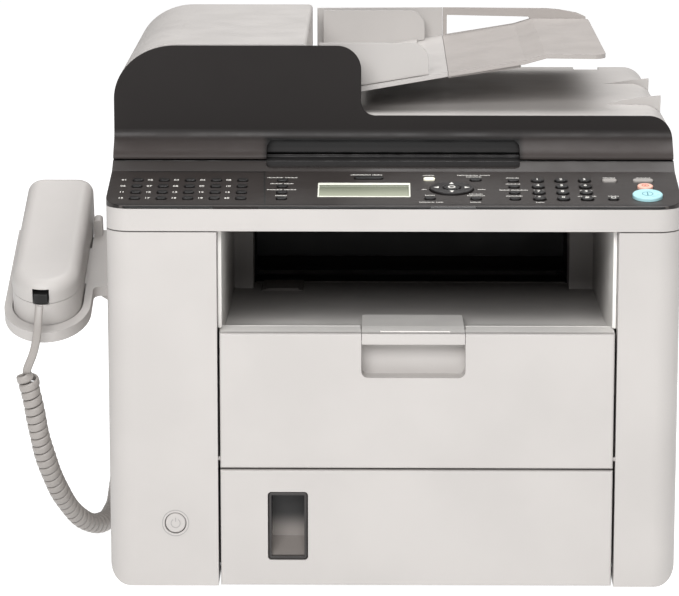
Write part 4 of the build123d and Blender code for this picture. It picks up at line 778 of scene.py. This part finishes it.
def add_screw(name, x, y, z, body):
    """Pan-head screw with a cross recess, its head facing the rear."""
    shape = bmesh.new()
    profile = [(SCREW_R, 0.0), (SCREW_R, 0.7), (SCREW_R * 0.88, 1.4), (SCREW_R * 0.55, 1.9), (0.9, 2.0)]
    steps, rings = SCREW_SIDES, []
    for r, h in profile:
        rings.append([shape.verts.new((r * math.cos(2 * math.pi * k / steps), h,
                                       r * math.sin(2 * math.pi * k / steps))) for k in range(steps)])
    for lower, upper in zip(rings, rings[1:]):
        for k in range(steps):
            shape.faces.new((lower[k], lower[(k + 1) % steps], upper[(k + 1) % steps], upper[k]))
    # the recess sinks between four lobes
    for k, vertex in enumerate(rings[-1]):
        lobe = abs(math.cos(2 * 2 * math.pi * k / steps))
        vertex.co.x *= 0.7 + 1.1 * lobe
        vertex.co.z *= 0.7 + 1.1 * lobe
    floor = [shape.verts.new((v.co.x * 0.75, 0.9, v.co.z * 0.75)) for v in rings[-1]]
    for k in range(steps):
        shape.faces.new((rings[-1][k], rings[-1][(k + 1) % steps], floor[(k + 1) % steps], floor[k]))
    shape.faces.new(floor)
    shape.faces.new(rings[0][::-1])
    bmesh.ops.recalc_face_normals(shape, faces=shape.faces)
    bmesh.ops.scale(shape, vec=(MM, MM, MM), verts=shape.verts)
    bmesh.ops.translate(shape, vec=at(x, y, z), verts=shape.verts)
    mesh = bpy.data.meshes.new(name)
    shape.to_mesh(mesh)
    shape.free()
    finish_piece(add_object(name, mesh), screw_steel, body)


def add_fittings():
    add_display_frame()
    tab = box_mesh("one_touch_tab", (-122.0, -0.5, 259.7), (-91.0, 2.0, 261.5), 0.4)
    finish_piece(tab, slots["charcoal_plastic"], "scanner")
    lamp = box_mesh("lamp_window", (24.8, -0.3, 259.9), (55.7, 1.4, 261.5), 0.3)
    finish_piece(lamp, gloss_black, "scanner")
    rear = (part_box("rear_cover")[1].y - ORIGIN.y) / MM
    for k, (x, z) in enumerate(((-178, 24), (178, 24), (-178, 214), (178, 214))):
        add_screw(f"cover_screw_{k + 1}", x, rear - 0.1, z, "chassis")


add_fittings()


# ---------------------------------------------------------------- floor and lights, metres
FLOOR_HALF = 14.0
FLOOR_TONES = ((0.34, 0.34, 0.338, 1), (0.37, 0.37, 0.368, 1))
FLOOR_GLOW = 0.94  # the floor gives off light, so that it shows as a white background
WORLD_LEVEL = 0.15


def add_floor():
    shader = Shader("floor")
    tone = shader.mix(shader.ramp(shader.noise(400.0, 4.0), 0.3, 0.7), *FLOOR_TONES)
    surface = shader.add("BsdfPrincipled", {"Base Color": tone, "Roughness": 0.7, "Specular IOR Level": 0.2,
                                            "Emission Color": (1.0, 1.0, 1.0, 1),
                                            "Emission Strength": FLOOR_GLOW})
    shader.tree.links.new(surface.outputs[0], shader.add("OutputMaterial").inputs[0])
    w = FLOOR_HALF
    floor = add_mesh("floor", [(-w, -w, 0), (w, -w, 0), (w, w, 0), (-w, w, 0)], [(0, 1, 2, 3)])
    floor.data.materials.append(shader.material)


def add_area_light(name, location, target, size, power):
    data = bpy.data.lights.new(name, "AREA")
    data.shape, data.size, data.size_y, data.energy = "RECTANGLE", size[0], size[1], power
    light = bpy.data.objects.new(name, data)
    light.location = location
    light.rotation_mode = "QUATERNION"
    light.rotation_quaternion = (Vector(target) - Vector(location)).to_track_quat("-Z", "Y")
    bpy.context.scene.collection.objects.link(light)


def add_lights():
    world = bpy.data.worlds.new("studio")
    world.use_nodes = True
    background = world.node_tree.nodes["Background"]
    background.inputs["Color"].default_value = (1.0, 1.0, 1.0, 1)
    background.inputs["Strength"].default_value = WORLD_LEVEL
    bpy.context.scene.world = world
    add_area_light("key", (-0.3, -2.2, 1.46), (0, 0, 0.15), (1.8, 1.0), 62)
    add_area_light("top", (0.3, 0.35, 1.85), (0, 0.05, 0.2), (1.6, 1.6), 36)
    scene = bpy.context.scene
    scene.view_settings.view_transform = "Standard"
    scene.view_settings.look = "None"


add_floor()
add_lights()
